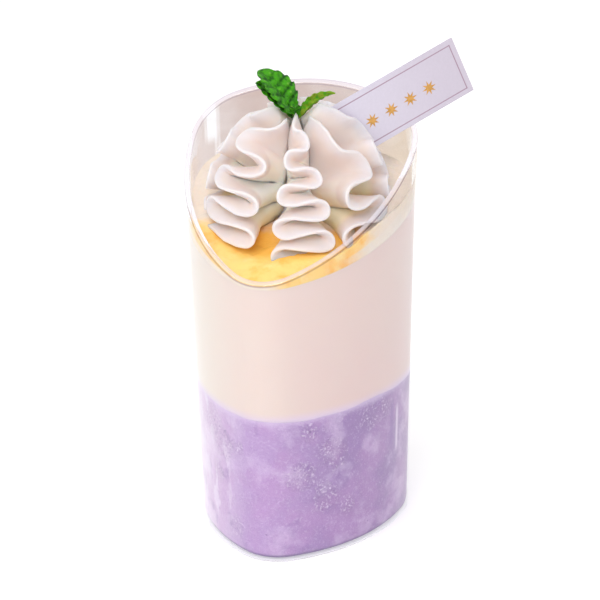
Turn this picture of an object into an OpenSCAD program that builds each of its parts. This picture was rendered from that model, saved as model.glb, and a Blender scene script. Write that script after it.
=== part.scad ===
// Plastic dessert cup, filled: a clear three-cornered cup cut on a slant, with a
// taro layer, a pudding layer, a mango layer, piped cream, a mint sprig and a tag card.
// Millimetres, +Z up. The origin is the centre of the base. The low lip faces -Y and
// the high edge faces +Y.

/* [Cup] */
// Height of the cup at its high back edge
cup_h = 100; // [90:1:120]
// Height of the cup at its low front lip
lip_h = 68.6; // [62:0.2:72]
// Distance from the axis to the middle of a side, at the base
side_r = 22.2; // [20:0.2:26]
// Radius of a bulged side in plan, at the base
side_arc_r = 40.3; // [34:0.5:60]
// Radius of a rounded corner in plan, at the base
corner_arc_r = 11.2; // [9:0.2:14]
// How much every plan radius grows from the base to the back edge
flare = 2.26; // [0:0.1:4]
// Thickness of the wall
wall_t = 1.3; // [0.8:0.1:2]
// Thickness of the floor
floor_t = 1.3; // [0.8:0.1:2.5]
// Radius of the outer edge at the foot
foot_edge_r = 1; // [0.4:0.1:2]
// Radius of the inner edge where the wall meets the floor
floor_edge_r = 1.5; // [0.5:0.1:3]

/* [Filling] */
// Height of the top of the taro layer above the table
taro_top = 35; // [25:1:45]
// Depth of the top of the pudding below the lip, at the lip
pudding_drop = 2; // [1.6:0.1:3]
// Depth of the top of the mango below the lip, at the lip
mango_drop = 0.4; // [0.2:0.1:1.4]
// Rise of the top of the pudding towards the back, as a share of the rim's rise
pudding_rise_share = 0.414; // [0.3:0.01:0.45]
// Rise of the top of the mango towards the back, as a share of the rim's rise
mango_rise_share = 0.557; // [0.48:0.01:0.6]
// Gap between the filling and the wall
fill_gap = 0.05; // [0.02:0.01:0.2]

/* [Cream] */
// Height of the highest petals of the cream above the cup's high back edge
cream_above = 1.5; // [0:0.5:3]
// Radius of the piped crests at the foot of the cream
cream_r = 21.2; // [16:0.2:21.4]
// Place of the centre of the cream to the right of the axis
cream_x = 1; // [0:0.1:1.2]
// Place of the centre of the cream behind the axis
cream_y = 0.3; // [-0.5:0.1:0.5]
// Radius of the cream mound in the middle, at its foot
core_foot_r = 7; // [5:0.5:9]
// Radius of the cream mound just under its peak
core_top_r = 1.7; // [1.5:0.1:2.2]
// Depth of the mound's peak below the highest petals
core_drop = 4; // [3:0.5:6]
// Height of the pointed peak on the mound
core_peak_h = 2.6; // [1.5:0.1:4]
// Thickness of a petal at its root
petal_root_t = 3.2; // [2:0.1:3.4]
// Thickness of a petal near its crest
petal_crest_t = 2; // [1.2:0.1:2.2]
// Gap between a petal and what it leans on
cream_gap = 0.15; // [0.1:0.01:0.25]

/* [Mint] */
// Diameter of the stem
stem_d = 1.3; // [1:0.1:1.5]
// Length of the stem in the cream
stem_in_cream = 8; // [4:0.5:12]
// Length of the stem above the cream
stem_above = 4; // [3:0.5:6]
// Gap between the stem and the cream
stem_gap = 0.1; // [0.05:0.01:0.2]
// Length of the large leaf
large_leaf_l = 12.6; // [10:0.2:16]
// Width of the large leaf
large_leaf_w = 9.4; // [6:0.2:10]
// Length of the leaf under the large one
under_leaf_l = 11.4; // [8:0.2:14]
// Width of the leaf under the large one
under_leaf_w = 6.6; // [5:0.2:8]
// Length of the small leaf
small_leaf_l = 10.6; // [7:0.2:12]
// Width of the small leaf
small_leaf_w = 3.8; // [3:0.2:4.4]
// Length of the bud leaf
bud_leaf_l = 5; // [3:0.2:6]
// Width of the bud leaf
bud_leaf_w = 2.8; // [2:0.2:3.4]
// Thickness of a leaf
leaf_t = 0.45; // [0.3:0.05:0.6]

/* [Tag card] */
// Length of the card
card_l = 33.8; // [32:0.2:36]
// Width of the card
card_w = 13.9; // [10:0.1:16]
// Thickness of the card
card_t = 0.45; // [0.3:0.05:0.8]
// Place of the card's inner end to the right of the centre of the cream
card_in_x = 10.6; // [10.2:0.1:11.2]
// Place of the card's inner end behind the centre of the cream
card_in_y = 3.7; // [3.4:0.1:4]
// Slope of the card above the level
card_slope = 23.8; // [23:0.1:25]
// Turn from the middle of the rim's right corner round to where the card leans
card_lean_turn = 1.2; // [0:0.1:2]
// Gap between the card and the cream that holds it
card_gap = 0.15; // [0.1:0.01:0.3]
// Gap between the card's lower edge and the rim that it leans on
card_seat_gap = 0.12; // [0.05:0.01:0.25]

/* [Hidden] */

// Plan of the cup: three bulged sides and three rounded corners, each tangent to the next
corner_count = 3;
sector = 360 / corner_count;
front_corner_dir = -90;
side_centre_d = side_arc_r - side_r;
arc_step_d = side_arc_r - corner_arc_r;
side_half_a = sector / 2 - asin(sin(sector / 2) * side_centre_d / arc_step_d);
corner_half_a = sector / 2 - side_half_a;
corner_centre_d = arc_step_d * sin(side_half_a) / sin(sector / 2);
draft = flare / cup_h;
cut_size = 3 * cup_h;

// The rim is rounded over on both sides
rim_edge_share = 0.38;
rim_edge_r = wall_t * rim_edge_share;

// Slant of the rim
rim_back_y = side_r + draft * cup_h - rim_edge_r;
rim_front_y = corner_centre_d + corner_arc_r + draft * lip_h - rim_edge_r;
cup_depth = rim_back_y + rim_front_y;
rim_slope = (cup_h - lip_h) / cup_depth;
rim_mid_z = lip_h + rim_slope * rim_front_y;

// Slants of the filling, which was poured in with the cup tipped
pudding_slope = pudding_rise_share * rim_slope;
mango_slope = mango_rise_share * rim_slope;
pudding_mid_z = lip_h - pudding_drop + pudding_slope * rim_front_y;
mango_mid_z = lip_h - mango_drop + mango_slope * rim_front_y;

function lerp(a, b, t) = a + (b - a) * t;
function pol(r, a, z) = [r * cos(a), r * sin(a), z];
function mango_z(y) = mango_mid_z + mango_slope * y;

// A closed skin over a stack of rings, all with the same number of points, drawn
// together to one point at each end
module skin(rings, low_point, high_point) {
    n = len(rings[0]);
    m = len(rings);
    points = concat([for (ring = rings) for (p = ring) p], [low_point, high_point]);
    sides = [
        for (j = [0:m - 2])
        for (k = [0:n - 1])
        let (a = j * n + k, b = j * n + (k + 1) % n)
        each [[a, a + n, b], [b, a + n, b + n]]
    ];
    low_end = [for (k = [0:n - 1]) [m * n, k, (k + 1) % n]];
    high_end = [for (k = [0:n - 1]) [m * n + 1, (m - 1) * n + (k + 1) % n, (m - 1) * n + k]];
    polyhedron(points = points, faces = concat(sides, low_end, high_end), convexity = 8);
}

// The plan's arcs in order round the axis, each as its centre's direction and distance,
// its radius at the base, and the two directions that it turns between
plan_arcs = [
    for (i = [0:corner_count - 1])
    let (corner_dir = front_corner_dir + sector * i, side_dir = corner_dir + sector / 2)
    each [
        [corner_dir, corner_centre_d, corner_arc_r, corner_dir, corner_half_a],
        [side_dir, -side_centre_d, side_arc_r, side_dir, side_half_a]
    ]
];
arc_steps = 8;

// A line up the wall for each point of the plan: its place at the base, and its direction out
wall_lines = [
    for (arc = plan_arcs)
    for (k = [0:arc_steps - 1])
    let (turn = arc[3] + arc[4] * (2 * k / arc_steps - 1), out = [cos(turn), sin(turn)])
    [arc[1] * [cos(arc[0]), sin(arc[0])] + arc[2] * out, out]
];

// A level ring of the wall, drawn in by an inset
function wall_ring(inset, z) = [
    for (line = wall_lines)
    let (p = line[0] + (draft * z - inset) * line[1])
    [p[0], p[1], z]
];

// A ring of the wall where it meets a plane that climbs towards the back
function slant_ring(inset, mid_z, slope) = [
    for (line = wall_lines)
    let (
        base_y = line[0][1] - inset * line[1][1],
        z = (mid_z + slope * base_y) / (1 - slope * draft * line[1][1]),
        p = line[0] + (draft * z - inset) * line[1]
    )
    [p[0], p[1], z]
];

// Rings round a rounded lower edge, from the flat out to the wall
edge_steps = 4;
function edge_rings(inset, z, edge_r) = [
    for (i = [0:edge_steps])
    let (a = 90 * i / edge_steps)
    wall_ring(inset + edge_r * (1 - sin(a)), z + edge_r * (1 - cos(a)))
];

function reversed(list) = [for (i = [len(list) - 1:-1:0]) list[i]];

// Rings over the rim, from the outer wall to the inner, each as its inset and its drop
rim_chamfer = rim_edge_r * 0.4;
rim_rings = [
    for (
        step = [
            [0, rim_edge_r],
            [rim_chamfer, rim_chamfer],
            [rim_edge_r, 0],
            [wall_t - rim_edge_r, 0],
            [wall_t - rim_chamfer, rim_chamfer],
            [wall_t, rim_edge_r]
        ]
    )
    slant_ring(step[0], rim_mid_z - step[1], rim_slope)
];

module cup_shell() {
    color([0.93, 0.94, 0.95, 0.35])
        skin(
            concat(
                edge_rings(0, 0, foot_edge_r),
                rim_rings,
                reversed(edge_rings(wall_t, floor_t, floor_edge_r))
            ),
            [0, 0, 0],
            [0, 0, floor_t]
        );
}

// The filling stands a little clear of the wall
fill_inset = wall_t + fill_gap;

module taro_layer() {
    color([0.73, 0.6, 0.81])
        skin(
            concat(
                edge_rings(fill_inset, floor_t, floor_edge_r),
                [wall_ring(fill_inset, taro_top)]
            ),
            [0, 0, floor_t],
            [0, 0, taro_top]
        );
}

module pudding_layer() {
    color([0.94, 0.88, 0.83])
        skin(
            [
                wall_ring(fill_inset, taro_top),
                slant_ring(fill_inset, pudding_mid_z, pudding_slope)
            ],
            [0, 0, taro_top],
            [0, 0, pudding_mid_z]
        );
}

module mango_layer() {
    color([0.95, 0.73, 0.33])
        skin(
            [
                slant_ring(fill_inset, pudding_mid_z, pudding_slope),
                slant_ring(fill_inset, mango_mid_z, mango_slope)
            ],
            [0, 0, pudding_mid_z],
            [0, 0, mango_mid_z]
        );
}

// Everything below a plane that climbs towards the back
module below_slant(mid_z, slope) {
    translate([0, 0, mid_z])
        rotate([atan(slope), 0, 0])
            translate([-cut_size / 2, -cut_size / 2, -cut_size])
                cube(cut_size);
}

cream_top = cup_h + cream_above;

// Radius of the cream mound at a height
core_foot_z = mango_z(cream_y - core_foot_r);
core_peak_z = cream_top - core_drop;
core_shoulder_z = core_peak_z - core_peak_h;
function core_r(z) = lerp(
    core_foot_r,
    core_top_r,
    (z - core_foot_z) / (core_shoulder_z - core_foot_z)
);

// The slot that the card makes in the cream
module card_slot() {
    card_place()
        translate([-card_l / 2 - card_gap, -card_w / 2 - card_gap, -card_t / 2 - card_gap])
            cube([card_l + cut_size, card_w + 2 * card_gap, card_t + 2 * card_gap]);
}

// The bore that the stem makes in the cream
module stem_bore() {
    translate([cream_x, cream_y, core_shoulder_z - stem_in_cream])
        cylinder(d = stem_d + 2 * stem_gap, h = cut_size, $fn = 48);
}

module cream_core() {
    color([0.97, 0.95, 0.93])
        difference() {
            translate([cream_x, cream_y, 0])
                rotate_extrude($fn = 96)
                    polygon([
                        [0, core_foot_z],
                        [core_foot_r, core_foot_z],
                        [core_top_r, core_shoulder_z],
                        [0, core_peak_z]
                    ]);
            below_slant(mango_mid_z, mango_slope);
            stem_bore();
        }
}

// Cream petals. Each is a standing band whose root climbs the mound and whose crest
// climbs the outside of the cream. Below a share of the climb the crest folds from side to
// side; above it the petal is smooth. The lists go round from the front to the right.
petal_dirs = [-70, -22, 12, 50, 96, 142, -176, -128];
// How far up the climb the petals start and each one ends, and how far its top lies below
// the highest petals
petal_foot_share = -0.015;
petal_top_shares = [0.93, 0.87, 0.84, 0.87, 0.87, 0.86, 0.86, 0.88];
petal_drop = 2;
petal_drop_shares = [1, 1, -0.3, 0, 0, 0.2, 0.1, 1];
// How far the folds swing to each side, and the power at which they fade towards the top
fold_swings = [21, 24, 8, 15, 18, 19, 18, 28];
fold_fade_powers = [0.5, 0.9, 0.1, 0.3, 0.3, 0.3, 0.3, 0];
// How many folds there are, the phase of the topmost, and the power at which they crowd
// together towards the foot
fold_counts = [4.5, 2.3, 2.7, 3.2, 3.2, 3.4, 3.2, 3.75];
fold_starts = [-142, -114, -114, 60, 150, 20, 30, 76];
fold_crowd_powers = [1.74, 2.7, 2.3, 1.7, 1.7, 1.7, 1.8, 2];
// How far a fold doubles back as a share of its height, and how folds grow outwards
fold_hook_share = 0.22;
fold_hook_power = 3;
fold_reach_power = 1.2;
petal_rings = 66;
crest_power = 2.1;
root_top_drop = 4.5;
foot_sink = 1.2;
// Most of the root radius that a root's thickness may take
root_fill_share = 0.42;
// Step along the middle surface over which its slope is taken
slope_step_share = 0.004;
least_reach_share = 0.02;
// The petals on both sides of the card, which hold it
petal_by_card = [false, false, true, true, false, false, false, false];
// Places from root to crest at which a petal's section has points, and its thickness there
section_place_shares = [0, 0.34, 0.64, 0.86, 0.96];
section_thick_shares = [0, 0.12, 0.4, 0.8, 1];

// A point of a petal's middle surface: climb goes from foot to top, reach from root to crest
function petal_mid(i, climb, reach) =
    let (
        dir = petal_dirs[i],
        top_z = cream_top - petal_drop * petal_drop_shares[i],
        phase = fold_starts[i] + 360 * fold_counts[i] * pow(1 - climb, fold_crowd_powers[i]),
        pitch = 1 / fold_counts[i] / fold_crowd_powers[i],
        hook = fold_hook_share * pitch * sin(2 * phase) * pow(reach, fold_hook_power),
        turn = 90 * (climb + hook),
        rise = sign(turn) * pow(abs(sin(turn)), 2 / crest_power),
        foot_crest_z = mango_z(cream_y + cream_r * sin(dir)) - foot_sink,
        crest_r = cream_r * pow(cos(turn), 2 / crest_power),
        crest_z = lerp(foot_crest_z, top_z, rise),
        foot_root_z = mango_z(cream_y) - foot_sink,
        root_z = lerp(foot_root_z, top_z - root_top_drop, climb / petal_top_shares[i]),
        root_r = core_r(root_z) + cream_gap,
        lean = fold_swings[i] * sin(phase) * pow(reach, fold_reach_power)
            * pow(1 - climb, fold_fade_powers[i])
    )
    pol(lerp(root_r, crest_r, reach), dir + lean, lerp(root_z, crest_z, reach));

function unit(v) = v / norm(v);

// Square to the middle surface
function petal_side(i, climb, reach) =
    let (
        d = slope_step_share,
        up = petal_mid(i, climb + d, reach) - petal_mid(i, climb - d, reach),
        out = petal_mid(i, climb, reach + d) - petal_mid(i, climb, reach - d)
    )
    unit(cross(out, up));

// One ring of a petal's skin: out along one face, over the crest and back along the other
function petal_ring(i, climb) =
    let (
        n = len(section_place_shares),
        root = petal_mid(i, climb, 0),
        root_t = min(petal_root_t, root_fill_share * norm([root[0], root[1]])),
        crest_t = min(petal_crest_t, root_t)
    )
    [
        for (k = [0:2 * n])
        let (
            j = k < n ? k : 2 * n - k,
            hand = k < n ? 1 : -1,
            reach = k == n ? 1 : section_place_shares[j],
            thick = k == n ? 0 : lerp(root_t, crest_t, section_thick_shares[j]),
            side = petal_side(i, climb, max(reach, least_reach_share))
        )
        petal_mid(i, climb, reach) + hand * thick / 2 * side
    ];

module cream_petal(i) {
    color([0.98, 0.96, 0.94])
        difference() {
            translate([cream_x, cream_y, 0])
                skin(
                    [
                        for (j = [0:petal_rings])
                        petal_ring(i, lerp(petal_foot_share, petal_top_shares[i], j / petal_rings))
                    ],
                    petal_mid(i, petal_foot_share, 1 / 2),
                    petal_mid(i, petal_top_shares[i], 1 / 2)
                );
            below_slant(mango_mid_z + cream_gap, mango_slope);
            if (petal_by_card[i]) card_slot();
        }
}

module cream_petal_front() {
    cream_petal(0);
}

module cream_petal_front_right() {
    cream_petal(1);
}

module cream_petal_right() {
    cream_petal(2);
}

module cream_petal_back_right() {
    cream_petal(3);
}

module cream_petal_back() {
    cream_petal(4);
}

module cream_petal_back_left() {
    cream_petal(5);
}

module cream_petal_left() {
    cream_petal(6);
}

module cream_petal_front_left() {
    cream_petal(7);
}

// Mint
stem_top_z = core_shoulder_z + stem_above;

module mint_stem() {
    color([0.3, 0.36, 0.12])
        translate([cream_x, cream_y, core_shoulder_z - stem_in_cream])
            cylinder(d = stem_d, h = stem_in_cream + stem_above, $fn = 48);
}

// Rings along a leaf, faces across half its section, how deep its trough is as a share of
// its half width, and how square its outline is
leaf_rings = 14;
leaf_across = 4;
leaf_trough_share = 0.25;
leaf_outline_power = 0.55;

// A point of a leaf at a place along it and across it: a shallow trough, arched lengthwise.
// A blunt leaf is widest past its middle.
function leaf_point(l, w, arch, blunt, along, across, lift) =
    let (half_w = w / 2 * pow(sin(180 * pow(along, blunt)), leaf_outline_power))
    [
        l * along,
        across * half_w,
        4 * l * arch * along * (1 - along) + leaf_trough_share * abs(across) * half_w + lift
    ];

// One cross-section of a leaf, along its lower face and back along its upper face
function leaf_ring(l, w, arch, blunt, along) = [
    for (k = [0:2 * leaf_across + 1])
    let (
        lower = k <= leaf_across,
        across = lower ? 2 * k / leaf_across - 1 : 3 - 2 * (k - 1) / leaf_across
    )
    leaf_point(l, w, arch, blunt, along, across, lower ? -leaf_t / 2 : leaf_t / 2)
];

// A leaf that starts at the stem a little below its top. Its arch is a share of its
// length. It points along a direction, rises at an angle and is rolled about its length.
module leaf(l, w, drop, arch, blunt, dir, rise, roll) {
    translate([cream_x, cream_y, stem_top_z - drop])
        rotate([0, 0, dir])
            translate([stem_d / 2 + stem_gap, 0, 0])
                rotate([0, -rise, 0])
                    rotate([roll, 0, 0])
                        skin(
                            [
                                for (j = [1:leaf_rings - 1])
                                leaf_ring(l, w, arch, blunt, j / leaf_rings)
                            ],
                            [0, 0, 0],
                            [l, 0, 0]
                        );
}

module mint_leaf_large() {
    color([0.29, 0.6, 0.12])
        leaf(
            large_leaf_l, large_leaf_w, leaf_t,
            arch = 0.08, blunt = 1, dir = 169, rise = 47, roll = -8
        );
}

module mint_leaf_under() {
    color([0.2, 0.42, 0.12])
        leaf(
            under_leaf_l, under_leaf_w, 2.5 * leaf_t,
            arch = 0.03, blunt = 1.2, dir = 185, rise = 44, roll = -12
        );
}

module mint_leaf_small() {
    color([0.55, 0.66, 0.2])
        leaf(
            small_leaf_l, small_leaf_w, 2 * leaf_t,
            arch = 0.13, blunt = 0.9, dir = -3, rise = 37, roll = -36
        );
}

module mint_leaf_bud() {
    color([0.33, 0.58, 0.25])
        leaf(
            bud_leaf_l, bud_leaf_w, leaf_t,
            arch = 0.1, blunt = 1, dir = -79, rise = 44, roll = 0
        );
}

// Tag card. Its lower long edge leans on the inner edge of the rim, at the right corner.
lean_dir = front_corner_dir + sector - card_lean_turn;
lean_r = corner_centre_d + corner_arc_r - wall_t + draft * rim_mid_z;
lean_point = pol(lean_r, lean_dir, rim_mid_z + rim_slope * lean_r * sin(lean_dir));

// It runs from its inner end in the cream over that point
card_reach_x = lean_point[0] - cream_x - card_in_x;
card_reach_y = lean_point[1] - cream_y - card_in_y;
card_dir = atan2(card_reach_y, card_reach_x);
card_in_l = norm([card_reach_x, card_reach_y]) / cos(card_slope);

// The card's own frame: X along the card and out, Y across it and up, Z square to it
module card_place() {
    translate(lean_point + [0, 0, card_seat_gap])
        rotate([0, 0, card_dir])
            rotate([0, -card_slope, 0])
                translate([card_l / 2 - card_in_l, 0, card_w / 2])
                    rotate([90, 0, 0])
                        children();
}

module tag_card() {
    color([0.87, 0.85, 0.91])
        card_place()
            cube([card_l, card_w, card_t], center = true);
}

cup_shell();
taro_layer();
pudding_layer();
mango_layer();
cream_core();
cream_petal_front();
cream_petal_front_right();
cream_petal_right();
cream_petal_back_right();
cream_petal_back();
cream_petal_back_left();
cream_petal_left();
cream_petal_front_left();
mint_stem();
mint_leaf_large();
mint_leaf_under();
mint_leaf_small();
mint_leaf_bud();
tag_card();
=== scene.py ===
"""A filled dessert cup: clear plastic, three layers, piped cream, mint and a tag card."""

import math

import bmesh
import bpy
import numpy as np
from bpy.props import FloatProperty, FloatVectorProperty, IntProperty, PointerProperty
from mathutils import Matrix, Vector


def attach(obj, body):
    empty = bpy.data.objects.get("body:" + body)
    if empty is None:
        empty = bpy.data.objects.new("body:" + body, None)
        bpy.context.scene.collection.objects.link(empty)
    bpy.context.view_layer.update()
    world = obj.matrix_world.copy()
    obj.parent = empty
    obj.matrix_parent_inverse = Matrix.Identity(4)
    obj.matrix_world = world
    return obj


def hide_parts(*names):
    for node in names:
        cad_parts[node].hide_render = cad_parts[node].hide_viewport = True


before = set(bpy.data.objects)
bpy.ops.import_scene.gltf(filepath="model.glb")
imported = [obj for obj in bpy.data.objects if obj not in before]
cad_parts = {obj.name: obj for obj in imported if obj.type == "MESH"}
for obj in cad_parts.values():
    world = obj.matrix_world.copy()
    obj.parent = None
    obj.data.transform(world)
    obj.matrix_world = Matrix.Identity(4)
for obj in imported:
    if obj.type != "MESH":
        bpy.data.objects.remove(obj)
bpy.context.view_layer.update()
MM = 0.001
DEGREE = math.pi / 180

bl_info = {
    "name": "Dessert cup",
    "version": (1, 0, 0),
    "blender": (4, 5, 0),
    "location": "3D View > Sidebar > Dessert cup",
    "description": "Builds a filled dessert cup with piped cream, a mint sprig and a tag card",
    "category": "Add Mesh",
}

# Corners of the cup in plan, and the direction of the one at the low lip
CORNER_COUNT = 3
FRONT_CORNER_DIR = -90 * DEGREE
SECTOR = 360 * DEGREE / CORNER_COUNT

# Piped petals: name, direction, share of the climb at its top, drop of its top in millimetres,
# swing in degrees, how it fades to the top, number of folds, the turn they start from at the
# top, how they crowd to the foot, and the share of the climb at its foot. A petal is a
# standing band whose root climbs the mound in the middle and whose crest climbs outside.
PETALS = [
    ("front", -70, 0.93, 2.0, 21, 0.5, 4.5, -142, 1.74, -0.003),
    ("front_right", -22, 0.87, 2.0, 24, 0.9, 2.3, -114, 2.7, 0.01),
    ("right", 12, 0.84, -0.6, 8, 0.1, 2.7, -114, 2.3, 0.01),
    ("back_right", 50, 0.87, 0.0, 15, 0.3, 3.2, 60, 1.7, 0.01),
    ("back", 96, 0.87, 0.0, 18, 0.3, 3.2, 150, 1.7, 0.01),
    ("back_left", 142, 0.86, 0.4, 19, 0.3, 3.4, 20, 1.7, 0.01),
    ("left", -176, 0.86, 0.2, 18, 0.3, 3.2, 30, 1.8, 0.01),
    ("front_left", -128, 0.88, 2.0, 28, 0.0, 3.75, 76, 2.0, 0.01),
]

# Crumbly spots of the taro on the wall: direction, height and radius in millimetres
CRUMBLY_SPOTS = [
    (-132, 30, 8), (-119, 26, 7), (-126, 18, 5), (-106, 27, 4), (-70, 21, 6), (-51, 25, 8),
    (-56, 15, 8), (-42, 11, 6), (-22, 31, 8), (-10, 32, 6), (-66, 32, 4), (-110, 6, 6),
]

# How far beyond the cup's side distance the centres of those spots lie
SPOT_REACH = 2.5 * MM

# Upright lines of the taro at the right: foot, head, place towards the back and half width
# in millimetres, and strength; a dark one and a pale one
RIGHT_LINES = [(19, 33, -0.4, 1.1, 0.75), (17, 31, 2.1, 0.8, 0.8)]
LINE_FADE = 3

# Where the mango is painted deeper as shade at the foot of the cream, from just outside the
# mound's radius to inside it
SHADE_BAND = (0.5 * MM, -2.5 * MM)

# Where the cream on the wall begins, under the mango's upper edge
SIDE_BAND = (-0.5 * MM, -1.2 * MM)

# How far the ends of the bare stretches wander, in all
BARE_WANDER = 16 * DEGREE

# Stretches of the wall where the mango shows bare: direction where it starts to show and
# where it shows in full at each end, and strength
BARE_STRETCHES = [(-86, -74, -22, -50, 1.0), (-172, -158, -128, -144, 0.3)]

# Mint leaves: name, drop below the stem's top, arch, bluntness, direction, rise and roll
LEAVES = [
    ("large", 1, 0.08, 1.0, 169, 47, -8),
    ("under", 2.5, 0.03, 1.2, 185, 44, -12),
    ("small", 2, 0.13, 0.9, -3, 37, -36),
    ("bud", 1, 0.1, 1.0, -79, 44, 0),
]


def length(name, description, value, least=0.0):
    """A length property, given in millimetres and kept in metres."""
    return FloatProperty(
        name=name, description=description, default=value * MM, min=least * MM,
        unit="LENGTH", subtype="DISTANCE", precision=5,
    )


def share(name, description, value):
    """A plain number property."""
    return FloatProperty(name=name, description=description, default=value)


def turn(name, description, value):
    """An angle property, given in degrees."""
    return FloatProperty(
        name=name, description=description, default=value * DEGREE,
        unit="ROTATION", subtype="ANGLE",
    )


def linear(red, green, blue):
    """Linear colour of a colour written as it looks, from 0 to 255."""
    def channel(value):
        value = value / 255
        return value / 12.92 if value <= 0.04045 else ((value + 0.055) / 1.055) ** 2.4
    return channel(red), channel(green), channel(blue)


def colour(name, description, red, green, blue):
    """A colour property, written as it looks."""
    return FloatVectorProperty(
        name=name, description=description, subtype="COLOR", size=3, min=0, max=1,
        default=linear(red, green, blue),
    )


class CupSizes(bpy.types.PropertyGroup):
    """Sizes of the clear cup."""

    height: length("Height", "Height at the high back edge", 100)
    lip_height: length("Lip height", "Height at the low front lip", 68.6)
    side_r: length("Side distance", "From the axis to the middle of a side, at the base", 22.2)
    side_arc_r: length("Side radius", "Radius of a bulged side in plan", 40.3)
    corner_arc_r: length("Corner radius", "Radius of a rounded corner in plan", 11.2)
    flare: length("Flare", "Growth of the plan's radii from base to back edge", 2.26)
    wall: length("Wall", "Thickness of the wall", 1.3)
    floor: length("Floor", "Thickness of the floor", 1.3)
    foot_edge_r: length("Foot edge", "Radius of the outer edge at the foot", 1)
    floor_edge_r: length("Floor edge", "Radius of the inner edge at the floor", 1.5)
    rim_edge_share: share("Rim rounding", "Radius of the rim's edges as a share of the wall", 0.38)
    arc_steps: IntProperty(name="Arc steps", description="Faces along each arc", default=28)


class FillingSizes(bpy.types.PropertyGroup):
    """Sizes of the three layers."""

    taro_top: length("Taro top", "Height of the top of the taro", 35)
    taro_wave: length("Taro wave", "How far the taro's top wanders up and down", 0.45)
    pudding_drop: length("Pudding drop", "Depth of the pudding below the lip", 2)
    mango_drop: length("Mango drop", "Depth of the mango below the lip", 0.4)
    pudding_rise: share("Pudding rise", "Slant of the pudding as a share of the rim's", 0.414)
    mango_rise: share("Mango rise", "Slant of the mango as a share of the rim's", 0.557)
    overlap: length("Overlap", "How far the filling wets into the wall", 0.04)
    soak: length("Soak", "How far the taro wets into the floor", 0.9)
    mango_wave: length("Mango wave", "Height of the lumps in the mango", 0.45)
    mango_bank: length("Mango bank", "How far the mango rises round the cream", 0.8)
    mango_climb: length("Mango climb", "How far the mango climbs the wall", 1.7)


class CreamSizes(bpy.types.PropertyGroup):
    """Sizes of the piped cream."""

    above: length("Above", "Height of the highest petals above the cup's back edge", 1.5)
    radius: length("Radius", "Radius of the crests at the foot", 21.2)
    x: length("Right", "Place of the centre to the right of the axis", 1)
    y: length("Back", "Place of the centre behind the axis", 0.3)
    core_foot_r: length("Core foot", "Radius of the mound at its foot", 7)
    core_top_r: length("Core top", "Radius of the mound under its peak", 1.7)
    core_drop: length("Core drop", "Depth of the mound's peak below the petals", 4)
    core_peak: length("Core peak", "Height of the peak on the mound", 2.6)
    root_t: length("Root", "Thickness of a petal at its root", 3.2)
    body_t: length("Body", "Thickness of a petal behind its crest", 2.6)
    crest_t: length("Crest", "Thickness of a petal at its crest", 0.7)
    root_flare: length("Root flare", "How much thicker a petal grows towards its root", 3.0)
    gap: length("Gap", "Gap between a petal and the mound", 0.15)
    foot_sink: length("Foot sink", "Depth of a petal's foot in the mango", 1.2)
    root_top_drop: length("Root drop", "Depth of a petal's root below its top", 4.5)
    wobble: length("Wobble", "How far a petal wanders from its rule", 0.25)


class MintSizes(bpy.types.PropertyGroup):
    """Sizes of the mint sprig."""

    stem_d: length("Stem", "Diameter of the stem", 1.3)
    stem_in: length("Stem in cream", "Length of the stem in the cream", 8)
    stem_above: length("Stem above", "Length of the stem above the cream", 4)
    stem_gap: length("Stem gap", "Gap between the stem and the cream", 0.1)
    large_l: length("Large leaf length", "Length of the large leaf", 12.6)
    large_w: length("Large leaf width", "Width of the large leaf", 9.4)
    under_l: length("Under leaf length", "Length of the leaf under it", 11.4)
    under_w: length("Under leaf width", "Width of the leaf under it", 6.6)
    small_l: length("Small leaf length", "Length of the small leaf", 10.6)
    small_w: length("Small leaf width", "Width of the small leaf", 3.8)
    bud_l: length("Bud leaf length", "Length of the bud leaf", 5)
    bud_w: length("Bud leaf width", "Width of the bud leaf", 2.8)
    leaf_t: length("Leaf thickness", "Thickness of a leaf", 0.45)
    blister: length("Blisters", "Height of the blisters between the veins", 0.42)


class CardSizes(bpy.types.PropertyGroup):
    """Sizes of the tag card."""

    length: length("Length", "Length of the card", 33.8)
    width: length("Width", "Width of the card", 13.9)
    thickness: length("Thickness", "Thickness of the card", 0.45)
    in_x: length("Inner end right", "Inner end to the right of the cream's centre", 10.6)
    in_y: length("Inner end back", "Inner end behind the cream's centre", 3.7)
    seat_gap: length("Seat gap", "Gap between the card and the rim", 0.12)
    slope: turn("Slope", "Slope of the card above the level", 23.8)
    lean_turn: turn("Lean", "Turn from the corner's middle to where the card leans", 1.2)
    border: length("Border", "Distance of the printed line from the edge", 1.3)
    line: length("Line", "Width of the printed line", 0.26)
    ornament: length("Ornament", "Radius of a foil ornament", 1.75)
    ornament_step: length("Ornament step", "Distance between foil ornaments", 5.0)
    ornament_count: IntProperty(name="Ornaments", description="Number of ornaments", default=5)


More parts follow.
